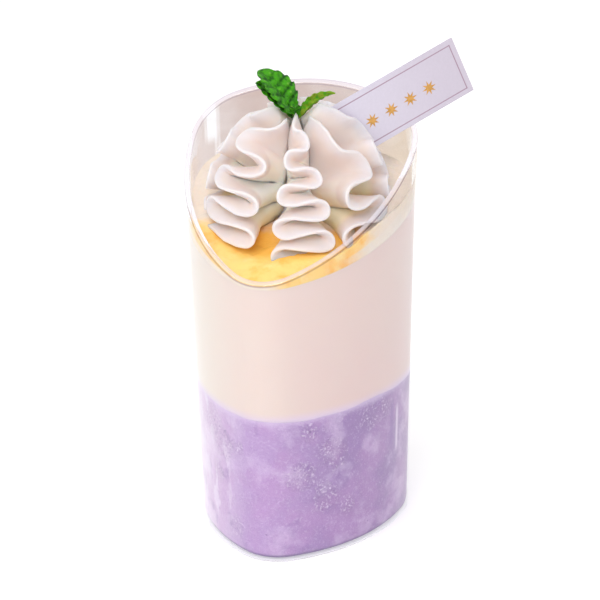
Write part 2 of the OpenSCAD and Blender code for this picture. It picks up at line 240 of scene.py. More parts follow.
class Looks(bpy.types.PropertyGroup):
    """Colours of the finishes."""

    plastic: colour("Plastic", "Clear plastic", 250, 250, 252)
    film: colour("Film", "Film of cream on the wall above the filling", 204, 184, 178)
    film_right: colour("Film, right", "Film with a little mango, at the right", 220, 201, 180)
    # Painted shade: dark lines along the rim's edges and the foot, as refraction darkens the edges
    # of clear plastic
    rim: colour("Rim", "Thin lines along the rim", 168, 150, 166)
    # Painted light on the rim's cut face: a grey tint and a glow that stand in for light the wall
    # carries to its edge
    painted_cut_tint: colour("Rim, cut", "What shows through the cut edge of the plastic", 150, 146, 152)
    painted_rim_glow: colour("Rim, light", "Light that the wall pipes to its cut edge", 176, 170, 176)
    # Taro across the cup: paler at the left partly in its own colour and partly as painted light
    # from the left
    taro_left: colour("Taro, left", "Taro mash at the left", 232, 211, 237)
    taro: colour("Taro", "Taro mash in the middle", 186, 154, 204)
    taro_right: colour("Taro, right", "Taro mash at the right", 154, 123, 178)
    taro_pink: colour("Taro, pink", "Pinker patches in the mash", 190, 145, 200)
    taro_pale: colour("Taro, pale", "Pale flecks in the mash", 224, 204, 234)
    taro_crumb: colour("Taro, crumbs", "Pale crumbs in the mash", 232, 216, 240)
    taro_deep: colour("Taro, deep", "Darker veins in the mash", 150, 116, 178)
    taro_foot: colour("Taro, foot", "Mash in the shade at the floor", 120, 104, 150)
    # Pudding across the cup: paler and warmer at the left as painted light from the left
    pudding_left: colour("Pudding, left", "Pudding at the left", 234, 222, 208)
    pudding: colour("Pudding", "Pudding in the middle", 232, 212, 203)
    pudding_right: colour("Pudding, right", "Pudding at the right", 229, 203, 198)
    mango: colour("Mango", "Mango puree", 255, 212, 122)
    mango_deep: colour("Mango, deep", "Deeper mango puree", 254, 178, 58)
    mango_pale: colour("Mango, pale", "Paler mango puree", 255, 230, 170)
    # Painted shade: deeper orange where the cream shades the mango at its foot
    mango_painted_shade: colour("Mango, foot", "Mango at the foot of the cream", 255, 190, 78)
    wall_smear: colour("Mango, wall", "Cream smeared down the wall over the mango", 238, 224, 210)
    smear: colour("Smear", "Cream smeared into the mango", 238, 222, 206)
    cream: colour("Cream", "Whipped cream", 223, 214, 218)
    cream_face: colour("Cream, face", "Smooth face of a petal", 225, 211, 206)
    # Painted light: cream deep between folds, lighter as light scattered into them
    hollow: colour("Cream, hollow", "Whipped cream deep between folds", 255, 248, 238)
    # Partly real staining at the foot and partly painted mango-coloured light bounced into the low
    # folds
    stain_and_bounce: colour("Cream, stain", "Whipped cream stained by the mango", 255, 214, 150)
    leaf: colour("Leaf", "Mint leaf", 66, 156, 8)
    # Painted shade in a leaf's creases, veins and margins; also the stem's own darker streaks
    leaf_shade_and_streaks: colour("Leaf, dark", "Veins and edges of a mint leaf", 24, 84, 6)
    # Painted highlight on the tops of a leaf's blisters
    leaf_highlight: colour("Leaf, bright", "Tops of a mint leaf's blisters", 128, 196, 66)
    leaf_young: colour("Young leaf", "Young mint leaf", 130, 160, 34)
    stem: colour("Stem", "Mint stem", 90, 104, 46)
    card: colour("Card", "Card near its inner end", 219, 213, 229)
    card_outer: colour("Card, outer", "Card near its outer end", 206, 197, 212)
    line: colour("Printed line", "Printed line on the card", 168, 140, 160)
    foil: colour("Foil", "Gold foil on the card", 186, 140, 78)


def sizes():
    """The property groups of the scene, by short name."""
    scene = bpy.context.scene
    return {
        "cup": scene.dessert_cup, "filling": scene.dessert_filling, "cream": scene.dessert_cream,
        "mint": scene.dessert_mint, "card": scene.dessert_card, "looks": scene.dessert_looks,
    }


# Geometry


def lerp(a, b, t):
    return a + (b - a) * t


def plan_lines(cup):
    """Foot points and outward directions round the cup's plan."""
    side_centre_d = cup.side_arc_r - cup.side_r
    arc_step_d = cup.side_arc_r - cup.corner_arc_r
    side_half = SECTOR / 2 - math.asin(math.sin(SECTOR / 2) * side_centre_d / arc_step_d)
    corner_half = SECTOR / 2 - side_half
    corner_centre_d = arc_step_d * math.sin(side_half) / math.sin(SECTOR / 2)
    points = []
    outs = []
    for i in range(CORNER_COUNT):
        corner_dir = FRONT_CORNER_DIR + SECTOR * i
        side_dir = corner_dir + SECTOR / 2
        arcs = (
            (corner_dir, corner_centre_d, cup.corner_arc_r, corner_half),
            (side_dir, -side_centre_d, cup.side_arc_r, side_half),
        )
        for direction, centre_d, arc_r, half in arcs:
            angles = direction + half * (2 * np.arange(cup.arc_steps) / cup.arc_steps - 1)
            out = np.stack([np.cos(angles), np.sin(angles)], -1)
            centre = centre_d * np.array([math.cos(direction), math.sin(direction)])
            points.append(centre + arc_r * out)
            outs.append(out)
    return np.concatenate(points), np.concatenate(outs), corner_centre_d


class CupShape:
    """The cup's plan, draft and slants, worked out once from its sizes."""

    def __init__(self, cup, filling):
        self.foot, self.out, corner_centre_d = plan_lines(cup)
        self.draft = cup.flare / cup.height
        self.edge_r = cup.wall * cup.rim_edge_share
        back_y = cup.side_r + self.draft * cup.height - self.edge_r
        front_y = corner_centre_d + cup.corner_arc_r + self.draft * cup.lip_height - self.edge_r
        self.rim_slope = (cup.height - cup.lip_height) / (back_y + front_y)
        self.rim_mid_z = cup.lip_height + self.rim_slope * front_y
        self.inset = cup.wall - filling.overlap
        self.pudding_slope = filling.pudding_rise * self.rim_slope
        self.mango_slope = filling.mango_rise * self.rim_slope
        self.pudding_mid_z = cup.lip_height - filling.pudding_drop + self.pudding_slope * front_y
        self.mango_mid_z = cup.lip_height - filling.mango_drop + self.mango_slope * front_y
        self.corner_in_r = corner_centre_d + cup.corner_arc_r - cup.wall

    def mango_z(self, y):
        return self.mango_mid_z + self.mango_slope * y

    def level(self, inset, z):
        """A ring of the wall at a height, which may differ round the ring."""
        z = np.broadcast_to(np.asarray(z, float), len(self.foot))
        xy = self.foot + (self.draft * z - inset)[:, None] * self.out
        return np.column_stack([xy, z])

    def slant(self, inset, mid_z, slope):
        """A ring of the wall where it meets a plane that climbs towards the back."""
        base_y = self.foot[:, 1] - inset * self.out[:, 1]
        z = (mid_z + slope * base_y) / (1 - slope * self.draft * self.out[:, 1])
        return self.level(inset, z)


def between(low, high, steps, ends=True):
    """Rings spaced evenly from one ring to another."""
    shares = np.linspace(0, 1, steps + 1)
    if not ends:
        shares = shares[1:-1]
    return [lerp(low, high, t) for t in shares]


def wander(points, scale, seed):
    """Smooth seeded unevenness, from -1 to 1, at points given in metres."""
    rng = np.random.default_rng(seed)
    total = np.zeros(points.shape[:-1])
    weight = 0
    for octave in range(3):
        for _ in range(5):
            direction = rng.normal(size=3)
            direction /= np.linalg.norm(direction)
            phase = rng.uniform(0, 2 * math.pi)
            wave = np.sin(points @ direction * 2 * math.pi * 2**octave / scale + phase)
            total += wave / 2**octave
        weight += 2.2 / 2**octave
    return np.clip(total / weight, -1, 1)


def add_mesh(name, vertices, faces):
    """A mesh object at the origin, linked to the scene and shaded smooth."""
    mesh = bpy.data.meshes.new(name)
    mesh.from_pydata([tuple(v) for v in vertices], [], [tuple(f) for f in faces])
    mesh.validate()
    mesh.polygons.foreach_set("use_smooth", [True] * len(mesh.polygons))
    mesh.update()
    piece = bpy.data.objects.new(name, mesh)
    bpy.context.scene.collection.objects.link(piece)
    return piece


def loft(name, rings, low, high):
    """A closed skin over a stack of rings, drawn together to a point at each end."""
    rings = np.asarray(rings)
    m, n = rings.shape[:2]
    vertices = np.concatenate([rings.reshape(-1, 3), [low, high]])
    a = np.arange(m - 1)[:, None] * n + np.arange(n)
    b = np.arange(m - 1)[:, None] * n + (np.arange(n) + 1) % n
    quads = np.stack([a, b, b + n, a + n], -1).reshape(-1, 4)
    k = np.arange(n)
    foot = np.stack([np.full(n, m * n), (k + 1) % n, k], -1)
    head = np.stack([np.full(n, m * n + 1), (m - 1) * n + k, (m - 1) * n + (k + 1) % n], -1)
    return add_mesh(name, vertices, [*quads.tolist(), *foot.tolist(), *head.tolist()])


def outward(piece):
    """Turns the faces of a closed mesh outwards."""
    mesh = bmesh.new()
    mesh.from_mesh(piece.data)
    bmesh.ops.recalc_face_normals(mesh, faces=mesh.faces)
    mesh.to_mesh(piece.data)
    mesh.free()


def finish_piece(piece, material, body, slot, *nodes):
    """Gives a piece its material and body, and hides the parts of the nodes that it stands for;
    the slot is not used.
    """
    piece.data.materials.clear()
    piece.data.materials.append(material)
    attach(piece, body)
    if nodes:
        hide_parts(*nodes)


# Material tools


def new_material(name):
    """A material with an empty tree; returns it, its nodes and its links."""
    material = bpy.data.materials.new(name)
    material.use_nodes = True
    tree = material.node_tree
    tree.nodes.clear()
    return material, tree.nodes, tree.links


def output_shader(nodes, links, shader):
    out = nodes.new("ShaderNodeOutputMaterial")
    links.new(shader.outputs[0], out.inputs["Surface"])


def surface(nodes, links, shader, tone, normal):
    """Give a shader its tone and its bumps, and make it the surface of the material."""
    links.new(tone, shader.inputs["Base Color"])
    links.new(normal, shader.inputs["Normal"])
    output_shader(nodes, links, shader)


def principled(nodes, **values):
    """A Principled BSDF with its plain values set by socket name."""
    shader = nodes.new("ShaderNodeBsdfPrincipled")
    for name, value in values.items():
        socket = shader.inputs[name.replace("_", " ")]
        socket.default_value = (*value, 1) if socket.type == "RGBA" and len(value) == 3 else value
    return shader


def blend_colours(nodes, links, factor, first, second):
    """A colour mix; first and second are colours or sockets."""
    mix = nodes.new("ShaderNodeMix")
    mix.data_type = "RGBA"
    links.new(factor, mix.inputs[0])
    for socket, value in ((mix.inputs[6], first), (mix.inputs[7], second)):
        if isinstance(value, bpy.types.NodeSocket):
            links.new(value, socket)
        else:
            socket.default_value = (*value, 1)
    return mix.outputs[2]


def maths(nodes, links, operation, *values):
    """A Math node; values are numbers or sockets."""
    node = nodes.new("ShaderNodeMath")
    node.operation = operation
    for socket, value in zip(node.inputs, values):
        if isinstance(value, bpy.types.NodeSocket):
            links.new(value, socket)
        else:
            socket.default_value = value
    return node.outputs[0]


def smooth_step(nodes, links, value, low, high):
    """0 below low, 1 above high and smooth between."""
    step = nodes.new("ShaderNodeMapRange")
    step.interpolation_type = "SMOOTHSTEP"
    links.new(value, step.inputs["Value"])
    step.inputs["From Min"].default_value = low
    step.inputs["From Max"].default_value = high
    return step.outputs["Result"]


def glaze(nodes, links, tone, mask, strength, colour_on_top):
    """A colour laid over a tone where a mask is 1, as strongly as given."""
    factor = maths(nodes, links, "MULTIPLY", mask, strength)
    return blend_colours(nodes, links, factor, tone, colour_on_top)


def seen_directly(nodes, links):
    """1 on rays from the camera, in mirror images and through clear pieces."""
    path = nodes.new("ShaderNodeLightPath")
    seen = maths(
        nodes, links, "MAXIMUM", path.outputs["Is Camera Ray"], path.outputs["Is Glossy Ray"]
    )
    return maths(nodes, links, "MAXIMUM", seen, path.outputs["Is Transmission Ray"])


def object_coordinates(nodes):
    return nodes.new("ShaderNodeTexCoord").outputs["Object"]


def split(nodes, links, vector):
    """The X, Y and Z of a vector, as the outputs of one node."""
    parts = nodes.new("ShaderNodeSeparateXYZ")
    links.new(vector, parts.inputs[0])
    return parts.outputs


def scatter(shader, radius, scale):
    """How far red, green and blue light travels below the surface."""
    shader.inputs["Subsurface Radius"].default_value = radius
    shader.inputs["Subsurface Scale"].default_value = scale


def point_value(nodes, label):
    """What a piece's points carry under a name."""
    value = nodes.new("ShaderNodeAttribute")
    value.attribute_name = label
    return value.outputs["Fac"]


def over_mango(nodes, links, parts, shape):
    """Height that is the same all over the slanted surface of the mango."""
    slant = maths(nodes, links, "MULTIPLY", parts["Y"], shape.mango_slope)
    return maths(nodes, links, "SUBTRACT", parts["Z"], slant)


def carry(piece, label, values):
    """Give each point of a piece a value that its material reads."""
    column = piece.data.attributes.new(label, "FLOAT", "POINT")
    column.data.foreach_set("value", np.asarray(values, dtype=np.float32))


def made_of(nodes, links, grown, end, material):
    """End a geometry tree: what it grew, as real points in a material."""
    real = nodes.new("GeometryNodeRealizeInstances")
    links.new(grown, real.inputs[0])
    paint = nodes.new("GeometryNodeSetMaterial")
    paint.inputs["Material"].default_value = material
    links.new(real.outputs[0], paint.inputs["Geometry"])
    links.new(paint.outputs[0], end.inputs[0])


def new_group(name, inputs, outputs):
    """A shader node group with float inputs and outputs of the given types."""
    group = bpy.data.node_groups.new(name, "ShaderNodeTree")
    for label, kind, value in inputs:
        socket = group.interface.new_socket(label, in_out="INPUT", socket_type=kind)
        if value is not None:
            socket.default_value = value
    for label, kind in outputs:
        group.interface.new_socket(label, in_out="OUTPUT", socket_type=kind)
    start = group.nodes.new("NodeGroupInput")
    end = group.nodes.new("NodeGroupOutput")
    return group, start, end


def mottle_group():
    """Soft patches of two sizes: a Mask from 0 to 1 and a Height."""
    name = "soft mottle"
    if name in bpy.data.node_groups:
        return bpy.data.node_groups[name]
    group, start, end = new_group(
        name,
        [("Vector", "NodeSocketVector", None), ("Scale", "NodeSocketFloat", 100.0),
         ("Low", "NodeSocketFloat", 0.4), ("High", "NodeSocketFloat", 0.6)],
        [("Mask", "NodeSocketFloat"), ("Height", "NodeSocketFloat")],
    )
    nodes, links = group.nodes, group.links
    cloud = nodes.new("ShaderNodeTexNoise")
    cloud.inputs["Detail"].default_value = 4
    cloud.inputs["Roughness"].default_value = 0.55
    links.new(start.outputs["Vector"], cloud.inputs["Vector"])
    links.new(start.outputs["Scale"], cloud.inputs["Scale"])
    step = nodes.new("ShaderNodeMapRange")
    step.interpolation_type = "SMOOTHSTEP"
    links.new(cloud.outputs["Fac"], step.inputs["Value"])
    links.new(start.outputs["Low"], step.inputs["From Min"])
    links.new(start.outputs["High"], step.inputs["From Max"])
    links.new(step.outputs["Result"], end.inputs["Mask"])
    links.new(cloud.outputs["Fac"], end.inputs["Height"])
    return group


def air_group():
    """Small round air bubbles: a Mask that is 1 in a bubble, and a Height."""
    name = "air bubbles"
    if name in bpy.data.node_groups:
        return bpy.data.node_groups[name]
    group, start, end = new_group(
        name,
        [("Vector", "NodeSocketVector", None), ("Scale", "NodeSocketFloat", 900.0),
         ("Size", "NodeSocketFloat", 0.2), ("Amount", "NodeSocketFloat", 0.3)],
        [("Mask", "NodeSocketFloat"), ("Height", "NodeSocketFloat")],
    )
    nodes, links = group.nodes, group.links
    cells = nodes.new("ShaderNodeTexVoronoi")
    links.new(start.outputs["Vector"], cells.inputs["Vector"])
    links.new(start.outputs["Scale"], cells.inputs["Scale"])
    sparse = nodes.new("ShaderNodeSeparateColor")
    links.new(cells.outputs["Color"], sparse.inputs["Color"])
    chosen = maths(nodes, links, "LESS_THAN", sparse.outputs[0], start.outputs["Amount"])
    near = nodes.new("ShaderNodeMapRange")
    near.interpolation_type = "SMOOTHSTEP"
    links.new(cells.outputs["Distance"], near.inputs["Value"])
    near.inputs["From Min"].default_value = 0
    links.new(start.outputs["Size"], near.inputs["From Max"])
    near.inputs["To Min"].default_value = 1
    near.inputs["To Max"].default_value = 0
    mask = maths(nodes, links, "MULTIPLY", near.outputs["Result"], chosen)
    links.new(mask, end.inputs["Mask"])
    links.new(maths(nodes, links, "MULTIPLY", mask, -1.0), end.inputs["Height"])
    return group


def crumble_group():
    """Fine crumbs: a Pale and a Dark mask from 0 to 1, and a Height."""
    name = "crumble"
    if name in bpy.data.node_groups:
        return bpy.data.node_groups[name]
    group, start, end = new_group(
        name,
        [("Vector", "NodeSocketVector", None), ("Scale", "NodeSocketFloat", 900.0)],
        [("Pale", "NodeSocketFloat"), ("Dark", "NodeSocketFloat"),
         ("Height", "NodeSocketFloat")],
    )
    nodes, links = group.nodes, group.links
    grain = nodes.new("ShaderNodeTexNoise")
    grain.inputs["Detail"].default_value = 3
    grain.inputs["Roughness"].default_value = 0.65
    grain.inputs["Distortion"].default_value = 0.6
    links.new(start.outputs["Vector"], grain.inputs["Vector"])
    links.new(start.outputs["Scale"], grain.inputs["Scale"])
    pale = smooth_step(nodes, links, grain.outputs["Fac"], 0.53, 0.66)
    dark = smooth_step(nodes, links, grain.outputs["Fac"], 0.44, 0.33)
    links.new(pale, end.inputs["Pale"])
    links.new(dark, end.inputs["Dark"])
    links.new(grain.outputs["Fac"], end.inputs["Height"])
    return group


def near_wall_spots(nodes, links, vector, cup, spots):
    """1 at spots on the front of the cup's wall, fading to 0 round each; a spot is its
    direction, height and radius in millimetres."""
    total = None
    for direction, height, radius in spots:
        reach = cup.side_r + SPOT_REACH
        away = nodes.new("ShaderNodeVectorMath")
        away.operation = "DISTANCE"
        links.new(vector, away.inputs[0])
        away.inputs[1].default_value = (
            reach * math.cos(direction * DEGREE), reach * math.sin(direction * DEGREE),
            height * MM,
        )
        spot = smooth_step(nodes, links, away.outputs["Value"], radius * MM, 0.3 * radius * MM)
        total = spot if total is None else maths(nodes, links, "MAXIMUM", total, spot)
    return total


def place_group(nodes, links, group, vector, **values):
    """A group in a material, fed with coordinates and its own values."""
    node = nodes.new("ShaderNodeGroup")
    node.node_tree = group
    links.new(vector, node.inputs["Vector"])
    for name, value in values.items():
        node.inputs[name].default_value = value
    return node


def bump(nodes, links, height, distance, strength=1.0, normal=None):
    node = nodes.new("ShaderNodeBump")
    node.inputs["Strength"].default_value = strength
    node.inputs["Distance"].default_value = distance
    links.new(height, node.inputs["Height"])
    if normal is not None:
        links.new(normal, node.inputs["Normal"])
    return node.outputs["Normal"]


# Materials


def painted_highlight_strip(nodes, links, parts, cup):
    """1 on an upright strip of the back left wall where the film is left out, so that the wall
    shows white there as a painted highlight standing in for a reflection of the light; wide above
    a height and narrow below it."""
    strip_dir = 149 * DEGREE
    wide, narrow, soft = 1.7 * MM, 0.3 * MM, 0.35 * MM
    turned_x = maths(nodes, links, "MULTIPLY", parts["X"], -math.sin(strip_dir))
    turned_y = maths(nodes, links, "MULTIPLY", parts["Y"], math.cos(strip_dir))
    along = maths(nodes, links, "ADD", turned_x, turned_y)
    out_x = maths(nodes, links, "MULTIPLY", parts["X"], math.cos(strip_dir))
    out_y = maths(nodes, links, "MULTIPLY", parts["Y"], math.sin(strip_dir))
    out = maths(nodes, links, "ADD", out_x, out_y)
    outer = smooth_step(nodes, links, out, 0.8 * cup.side_r, 0.9 * cup.side_r)
    off = maths(nodes, links, "ABSOLUTE", along)
    upper = smooth_step(nodes, links, off, wide + soft, wide - soft)
    high = smooth_step(nodes, links, parts["Z"], 0.85 * cup.height, 0.88 * cup.height)
    beside = maths(nodes, links, "ABSOLUTE", maths(nodes, links, "SUBTRACT", along, -wide))
    lower = smooth_step(nodes, links, beside, narrow + soft, narrow - soft)
    strip = maths(nodes, links, "MAXIMUM", maths(nodes, links, "MULTIPLY", upper, high), lower)
    return maths(nodes, links, "MULTIPLY", strip, outer)


def plastic_material(looks, cup, shape):
    """Clear plastic, with a thin film of cream left on the wall above the filling and left out in
    an upright strip as a painted highlight, thin dark lines painted along its edges as the shade
    that refraction gives clear plastic there, and a painted glow on the cut rim that stands in for
    the light carried by the wall."""
    material, nodes, links = new_material("clear_plastic")
    vector = object_coordinates(nodes)
    parts = split(nodes, links, vector)
    above = over_mango(nodes, links, parts, shape)
    film = smooth_step(
        nodes, links, above, shape.mango_mid_z - 3 * MM, shape.mango_mid_z
    )
    ripple = place_group(nodes, links, mottle_group(), vector, Scale=55.0, Low=0.25, High=0.75)
    uneven = maths(nodes, links, "MULTIPLY_ADD", ripple.outputs["Mask"], 0.35, 0.65)
    film = maths(nodes, links, "MULTIPLY", film, uneven)
    back = smooth_step(nodes, links, parts["Y"], -0.4 * cup.side_r, 0.4 * cup.side_r)
    film = maths(nodes, links, "MULTIPLY", film, maths(nodes, links, "MAXIMUM", back, 0.15))
    # Painted highlight: the film is left out along an upright strip, as a reflection of the light
    highlight_mask = painted_highlight_strip(nodes, links, parts, cup)
    film = maths(nodes, links, "MULTIPLY", film, maths(nodes, links, "SUBTRACT", 1.0, highlight_mask))
    side = smooth_step(nodes, links, parts["X"], 0.2 * cup.side_r, cup.side_r)
    cloudy = blend_colours(nodes, links, side, looks.film, looks.film_right)
    tone = blend_colours(nodes, links, film, looks.plastic, cloudy)
    # Painted shade along the rim's edges and the foot
    tone = blend_colours(nodes, links, point_value(nodes, "edge"), tone, looks.rim)
    # Painted glow: the cut face is tinted and lit from within, standing in for light carried by
    # the wall
    cut = point_value(nodes, "bright")
    tone = blend_colours(nodes, links, cut, tone, looks.painted_cut_tint)
    shader = principled(
        nodes, Roughness=0.03, IOR=1.07, Transmission_Weight=1.0, Emission_Strength=1.0,
        Coat_Weight=1.0, Coat_Roughness=0.03, Coat_IOR=1.46,
    )
    links.new(tone, shader.inputs["Base Color"])
    piped = blend_colours(nodes, links, cut, (0, 0, 0), looks.painted_rim_glow)
    links.new(piped, shader.inputs["Emission Color"])
    links.new(bump(nodes, links, ripple.outputs["Height"], 0.00005), shader.inputs["Normal"])
    clear = nodes.new("ShaderNodeBsdfTransparent")
    clear.inputs["Color"].default_value = (*looks.plastic, 1)
    path = nodes.new("ShaderNodeLightPath")
    for kind in ("Is Reflection Ray", "Is Shadow Ray"):
        mix = nodes.new("ShaderNodeMixShader")
        links.new(path.outputs[kind], mix.inputs[0])
        links.new(shader.outputs[0], mix.inputs[1])
        links.new(clear.outputs[0], mix.inputs[2])
        shader = mix
    output_shader(nodes, links, shader)
    return material


def lit_left_to_right(nodes, links, across, half_width, left, middle, right):
    """A colour that changes from the left of the cup to its right, paler at the left as painted
    light falling from the left.
    """
    first = smooth_step(nodes, links, across, -half_width, -0.15 * half_width)
    tone = blend_colours(nodes, links, first, left, middle)
    second = smooth_step(nodes, links, across, -0.1 * half_width, half_width)
    return blend_colours(nodes, links, second, tone, right)


def taro_material(looks, cup, filling):
    """Mashed taro pressed against the wall: patches, crumbs and air pockets, paler at the left
    partly as painted light, with pale upright streaks there that are painted reflections of the
    light.
    """
    material, nodes, links = new_material("taro_mash")
    vector = object_coordinates(nodes)
    parts = split(nodes, links, vector)
    across, height = parts["X"], parts["Z"]
    squeeze = nodes.new("ShaderNodeMapping")
    squeeze.inputs["Scale"].default_value = (1, 1, 0.4)
    links.new(vector, squeeze.inputs["Vector"])
    upright = squeeze.outputs[0]
    patches = place_group(nodes, links, mottle_group(), vector, Scale=85.0, Low=0.4, High=0.62)
    pale = place_group(nodes, links, mottle_group(), vector, Scale=150.0, Low=0.5, High=0.7)
    veins = place_group(nodes, links, mottle_group(), vector, Scale=230.0, Low=0.55, High=0.7)
    streaks = place_group(
        nodes, links, mottle_group(), upright, Scale=240.0, Low=0.52, High=0.6
    )
    loose = place_group(nodes, links, mottle_group(), vector, Scale=95.0, Low=0.52, High=0.64)
    crumble = place_group(nodes, links, crumble_group(), vector, Scale=1700.0)
    pits = place_group(nodes, links, air_group(), vector, Scale=520.0, Size=0.2, Amount=0.05)
    # Paler at the left partly in the mash's own colour and partly as painted light from the left
    tone = lit_left_to_right(
        nodes, links, across, cup.side_r * 0.9, looks.taro_left, looks.taro, looks.taro_right
    )
    tone = glaze(nodes, links, tone, patches.outputs["Mask"], 0.45, looks.taro_pink)
    tone = glaze(nodes, links, tone, veins.outputs["Mask"], 0.45, looks.taro_deep)
    tone = glaze(nodes, links, tone, pale.outputs["Mask"], 0.4, looks.taro_pale)
    # Painted reflections: pale upright streaks at the left in the crumb colour
    left_reflection_side = smooth_step(nodes, links, across, -0.25 * cup.side_r, -0.6 * cup.side_r)
    run = maths(nodes, links, "MULTIPLY", streaks.outputs["Mask"], left_reflection_side)
    tone = glaze(nodes, links, tone, run, 0.8, looks.taro_crumb)
    spots = near_wall_spots(nodes, links, vector, cup, CRUMBLY_SPOTS)
    patchy = maths(nodes, links, "MULTIPLY_ADD", loose.outputs["Height"], 2.0, -1.0)
    patchy = maths(nodes, links, "ADD", patchy, spots)
    crumbly = smooth_step(nodes, links, patchy, 0.25, 0.85)
    crumbly = maths(nodes, links, "MAXIMUM", crumbly, 0.3)
    for mask, share_of, shade in (("Pale", 0.8, looks.taro_crumb), ("Dark", 0.6, looks.taro_deep)):
        fleck = maths(nodes, links, "MULTIPLY", crumble.outputs[mask], crumbly)
        tone = glaze(nodes, links, tone, fleck, share_of, shade)
    tone = blend_colours(nodes, links, pits.outputs["Mask"], tone, looks.taro_deep)
    foot = smooth_step(nodes, links, height, cup.floor + 0.5 * MM, cup.floor - 0.4 * MM)
    tone = glaze(nodes, links, tone, foot, 0.8, looks.taro_foot)
    top = filling.taro_top
    rise = smooth_step(nodes, links, height, top - 1.8 * MM, top + 0.6 * MM)
    tone = glaze(nodes, links, tone, rise, 0.7, looks.taro_pale)
    right = smooth_step(nodes, links, across, 0.9 * cup.side_r, cup.side_r)
    away = parts["Y"]
    shades = (looks.taro_deep, looks.taro_crumb)
    for (low, high, at, half, amount), shade in zip(RIGHT_LINES, shades):
        off = maths(nodes, links, "ABSOLUTE", maths(nodes, links, "SUBTRACT", away, at * MM))
        band = smooth_step(nodes, links, off, half * MM, 0.3 * half * MM)
        band = maths(nodes, links, "MULTIPLY", band, right)
        for near, far in ((low, low + LINE_FADE), (high, high - LINE_FADE)):
            within = smooth_step(nodes, links, height, near * MM, far * MM)
            band = maths(nodes, links, "MULTIPLY", band, within)
        tone = glaze(nodes, links, tone, band, amount, shade)
    shader = principled(nodes, Roughness=0.42, Subsurface_Weight=0.12)
    scatter(shader, (0.6, 0.35, 0.7), 0.0015)
    normal = bump(nodes, links, veins.outputs["Height"], 0.0007)
    grain = maths(nodes, links, "MULTIPLY", crumble.outputs["Height"], crumbly)
    normal = bump(nodes, links, grain, 0.0004, 1.0, normal)
    normal = bump(nodes, links, pits.outputs["Height"], 0.0002, 0.8, normal)
    surface(nodes, links, shader, tone, normal)
    return material


def pudding_material(looks, cup, filling):
    """Set milk pudding, tinted where it lies on the taro."""
    material, nodes, links = new_material("pudding")
    vector = object_coordinates(nodes)
    parts = split(nodes, links, vector)
    patches = place_group(nodes, links, mottle_group(), vector, Scale=40.0, Low=0.35, High=0.65)
    air = place_group(nodes, links, air_group(), vector, Scale=380.0, Size=0.16, Amount=0.05)
    # Painted light: paler and warmer at the left, where the light falls
    tone = lit_left_to_right(
        nodes, links, parts["X"], cup.side_r * 0.9,
        looks.pudding_left, looks.pudding, looks.pudding_right,
    )
    tone = glaze(nodes, links, tone, patches.outputs["Mask"], 0.25, looks.pudding_left)
    top = filling.taro_top
    edge = smooth_step(nodes, links, parts["Z"], top + 2.4 * MM, top - 0.9 * MM)
    tone = glaze(nodes, links, tone, edge, 0.9, looks.taro_pale)
    shader = principled(nodes, Roughness=0.38, Subsurface_Weight=0.2)
    scatter(shader, (1.0, 0.7, 0.5), 0.002)
    surface(nodes, links, shader, tone, bump(nodes, links, air.outputs["Height"], 0.00012, 0.5))
    return material


def mango_material(looks, cup, cream, shape):
    """Wet mango puree: painted deeper as shade at the foot of the cream, smeared with cream at the
    back and down the wall, and bare on the wall in two stretches."""
    material, nodes, links = new_material("mango_puree")
    vector = object_coordinates(nodes)
    parts = split(nodes, links, vector)
    deep = place_group(nodes, links, mottle_group(), vector, Scale=120.0, Low=0.48, High=0.7)
    pale = place_group(nodes, links, mottle_group(), vector, Scale=210.0, Low=0.5, High=0.75)
    tone = blend_colours(nodes, links, deep.outputs["Mask"], looks.mango, looks.mango_deep)
    tone = glaze(nodes, links, tone, pale.outputs["Mask"], 0.6, looks.mango_pale)
    aside = maths(nodes, links, "SUBTRACT", parts["X"], cream.x)
    ahead = maths(nodes, links, "SUBTRACT", parts["Y"], cream.y)
    reach = maths(nodes, links, "SQRT", maths(
        nodes, links, "ADD", maths(nodes, links, "MULTIPLY", aside, aside),
        maths(nodes, links, "MULTIPLY", ahead, ahead),
    ))
    # Painted shade: deeper orange round the foot of the cream
    outer, inner = SHADE_BAND
    foot = smooth_step(nodes, links, reach, cream.radius + outer, cream.radius + inner)
    tone = glaze(nodes, links, tone, foot, 0.8, looks.mango_painted_shade)
    wander_by = maths(nodes, links, "MULTIPLY_ADD", pale.outputs["Height"], 8 * MM, -4 * MM)
    back = maths(nodes, links, "ADD", parts["Y"], wander_by)
    edge = smooth_step(nodes, links, back, -0.55 * cup.side_r, -0.3 * cup.side_r)
    tone = glaze(nodes, links, tone, edge, 0.96, looks.smear)
    level = over_mango(nodes, links, parts, shape)
    upper, lower = SIDE_BAND
    side = smooth_step(
        nodes, links, level, shape.mango_mid_z + upper, shape.mango_mid_z + lower
    )
    turn = maths(nodes, links, "ARCTAN2", parts["Y"], parts["X"])
    turn = maths(nodes, links, "SUBTRACT", turn, BARE_WANDER / 2)
    turn = maths(nodes, links, "MULTIPLY_ADD", pale.outputs["Height"], BARE_WANDER, turn)
    bare = None
    for first, first_full, last, last_full, strength in BARE_STRETCHES:
        starts = smooth_step(nodes, links, turn, first * DEGREE, first_full * DEGREE)
        ends = smooth_step(nodes, links, turn, last * DEGREE, last_full * DEGREE)
        stretch = maths(nodes, links, "MULTIPLY", starts, ends)
        stretch = maths(nodes, links, "MULTIPLY", stretch, strength)
        bare = stretch if bare is None else maths(nodes, links, "MAXIMUM", bare, stretch)
    covered = maths(nodes, links, "MULTIPLY", side, maths(nodes, links, "SUBTRACT", 1.0, bare))
    tone = glaze(nodes, links, tone, covered, 0.95, looks.wall_smear)
    shader = principled(
        nodes, Roughness=0.18, Coat_Weight=0.3, Coat_Roughness=0.06, Subsurface_Weight=0.2
    )
    scatter(shader, (1.0, 0.7, 0.35), 0.0008)
    surface(nodes, links, shader, tone, bump(nodes, links, pale.outputs["Height"], 0.0007))
    return material


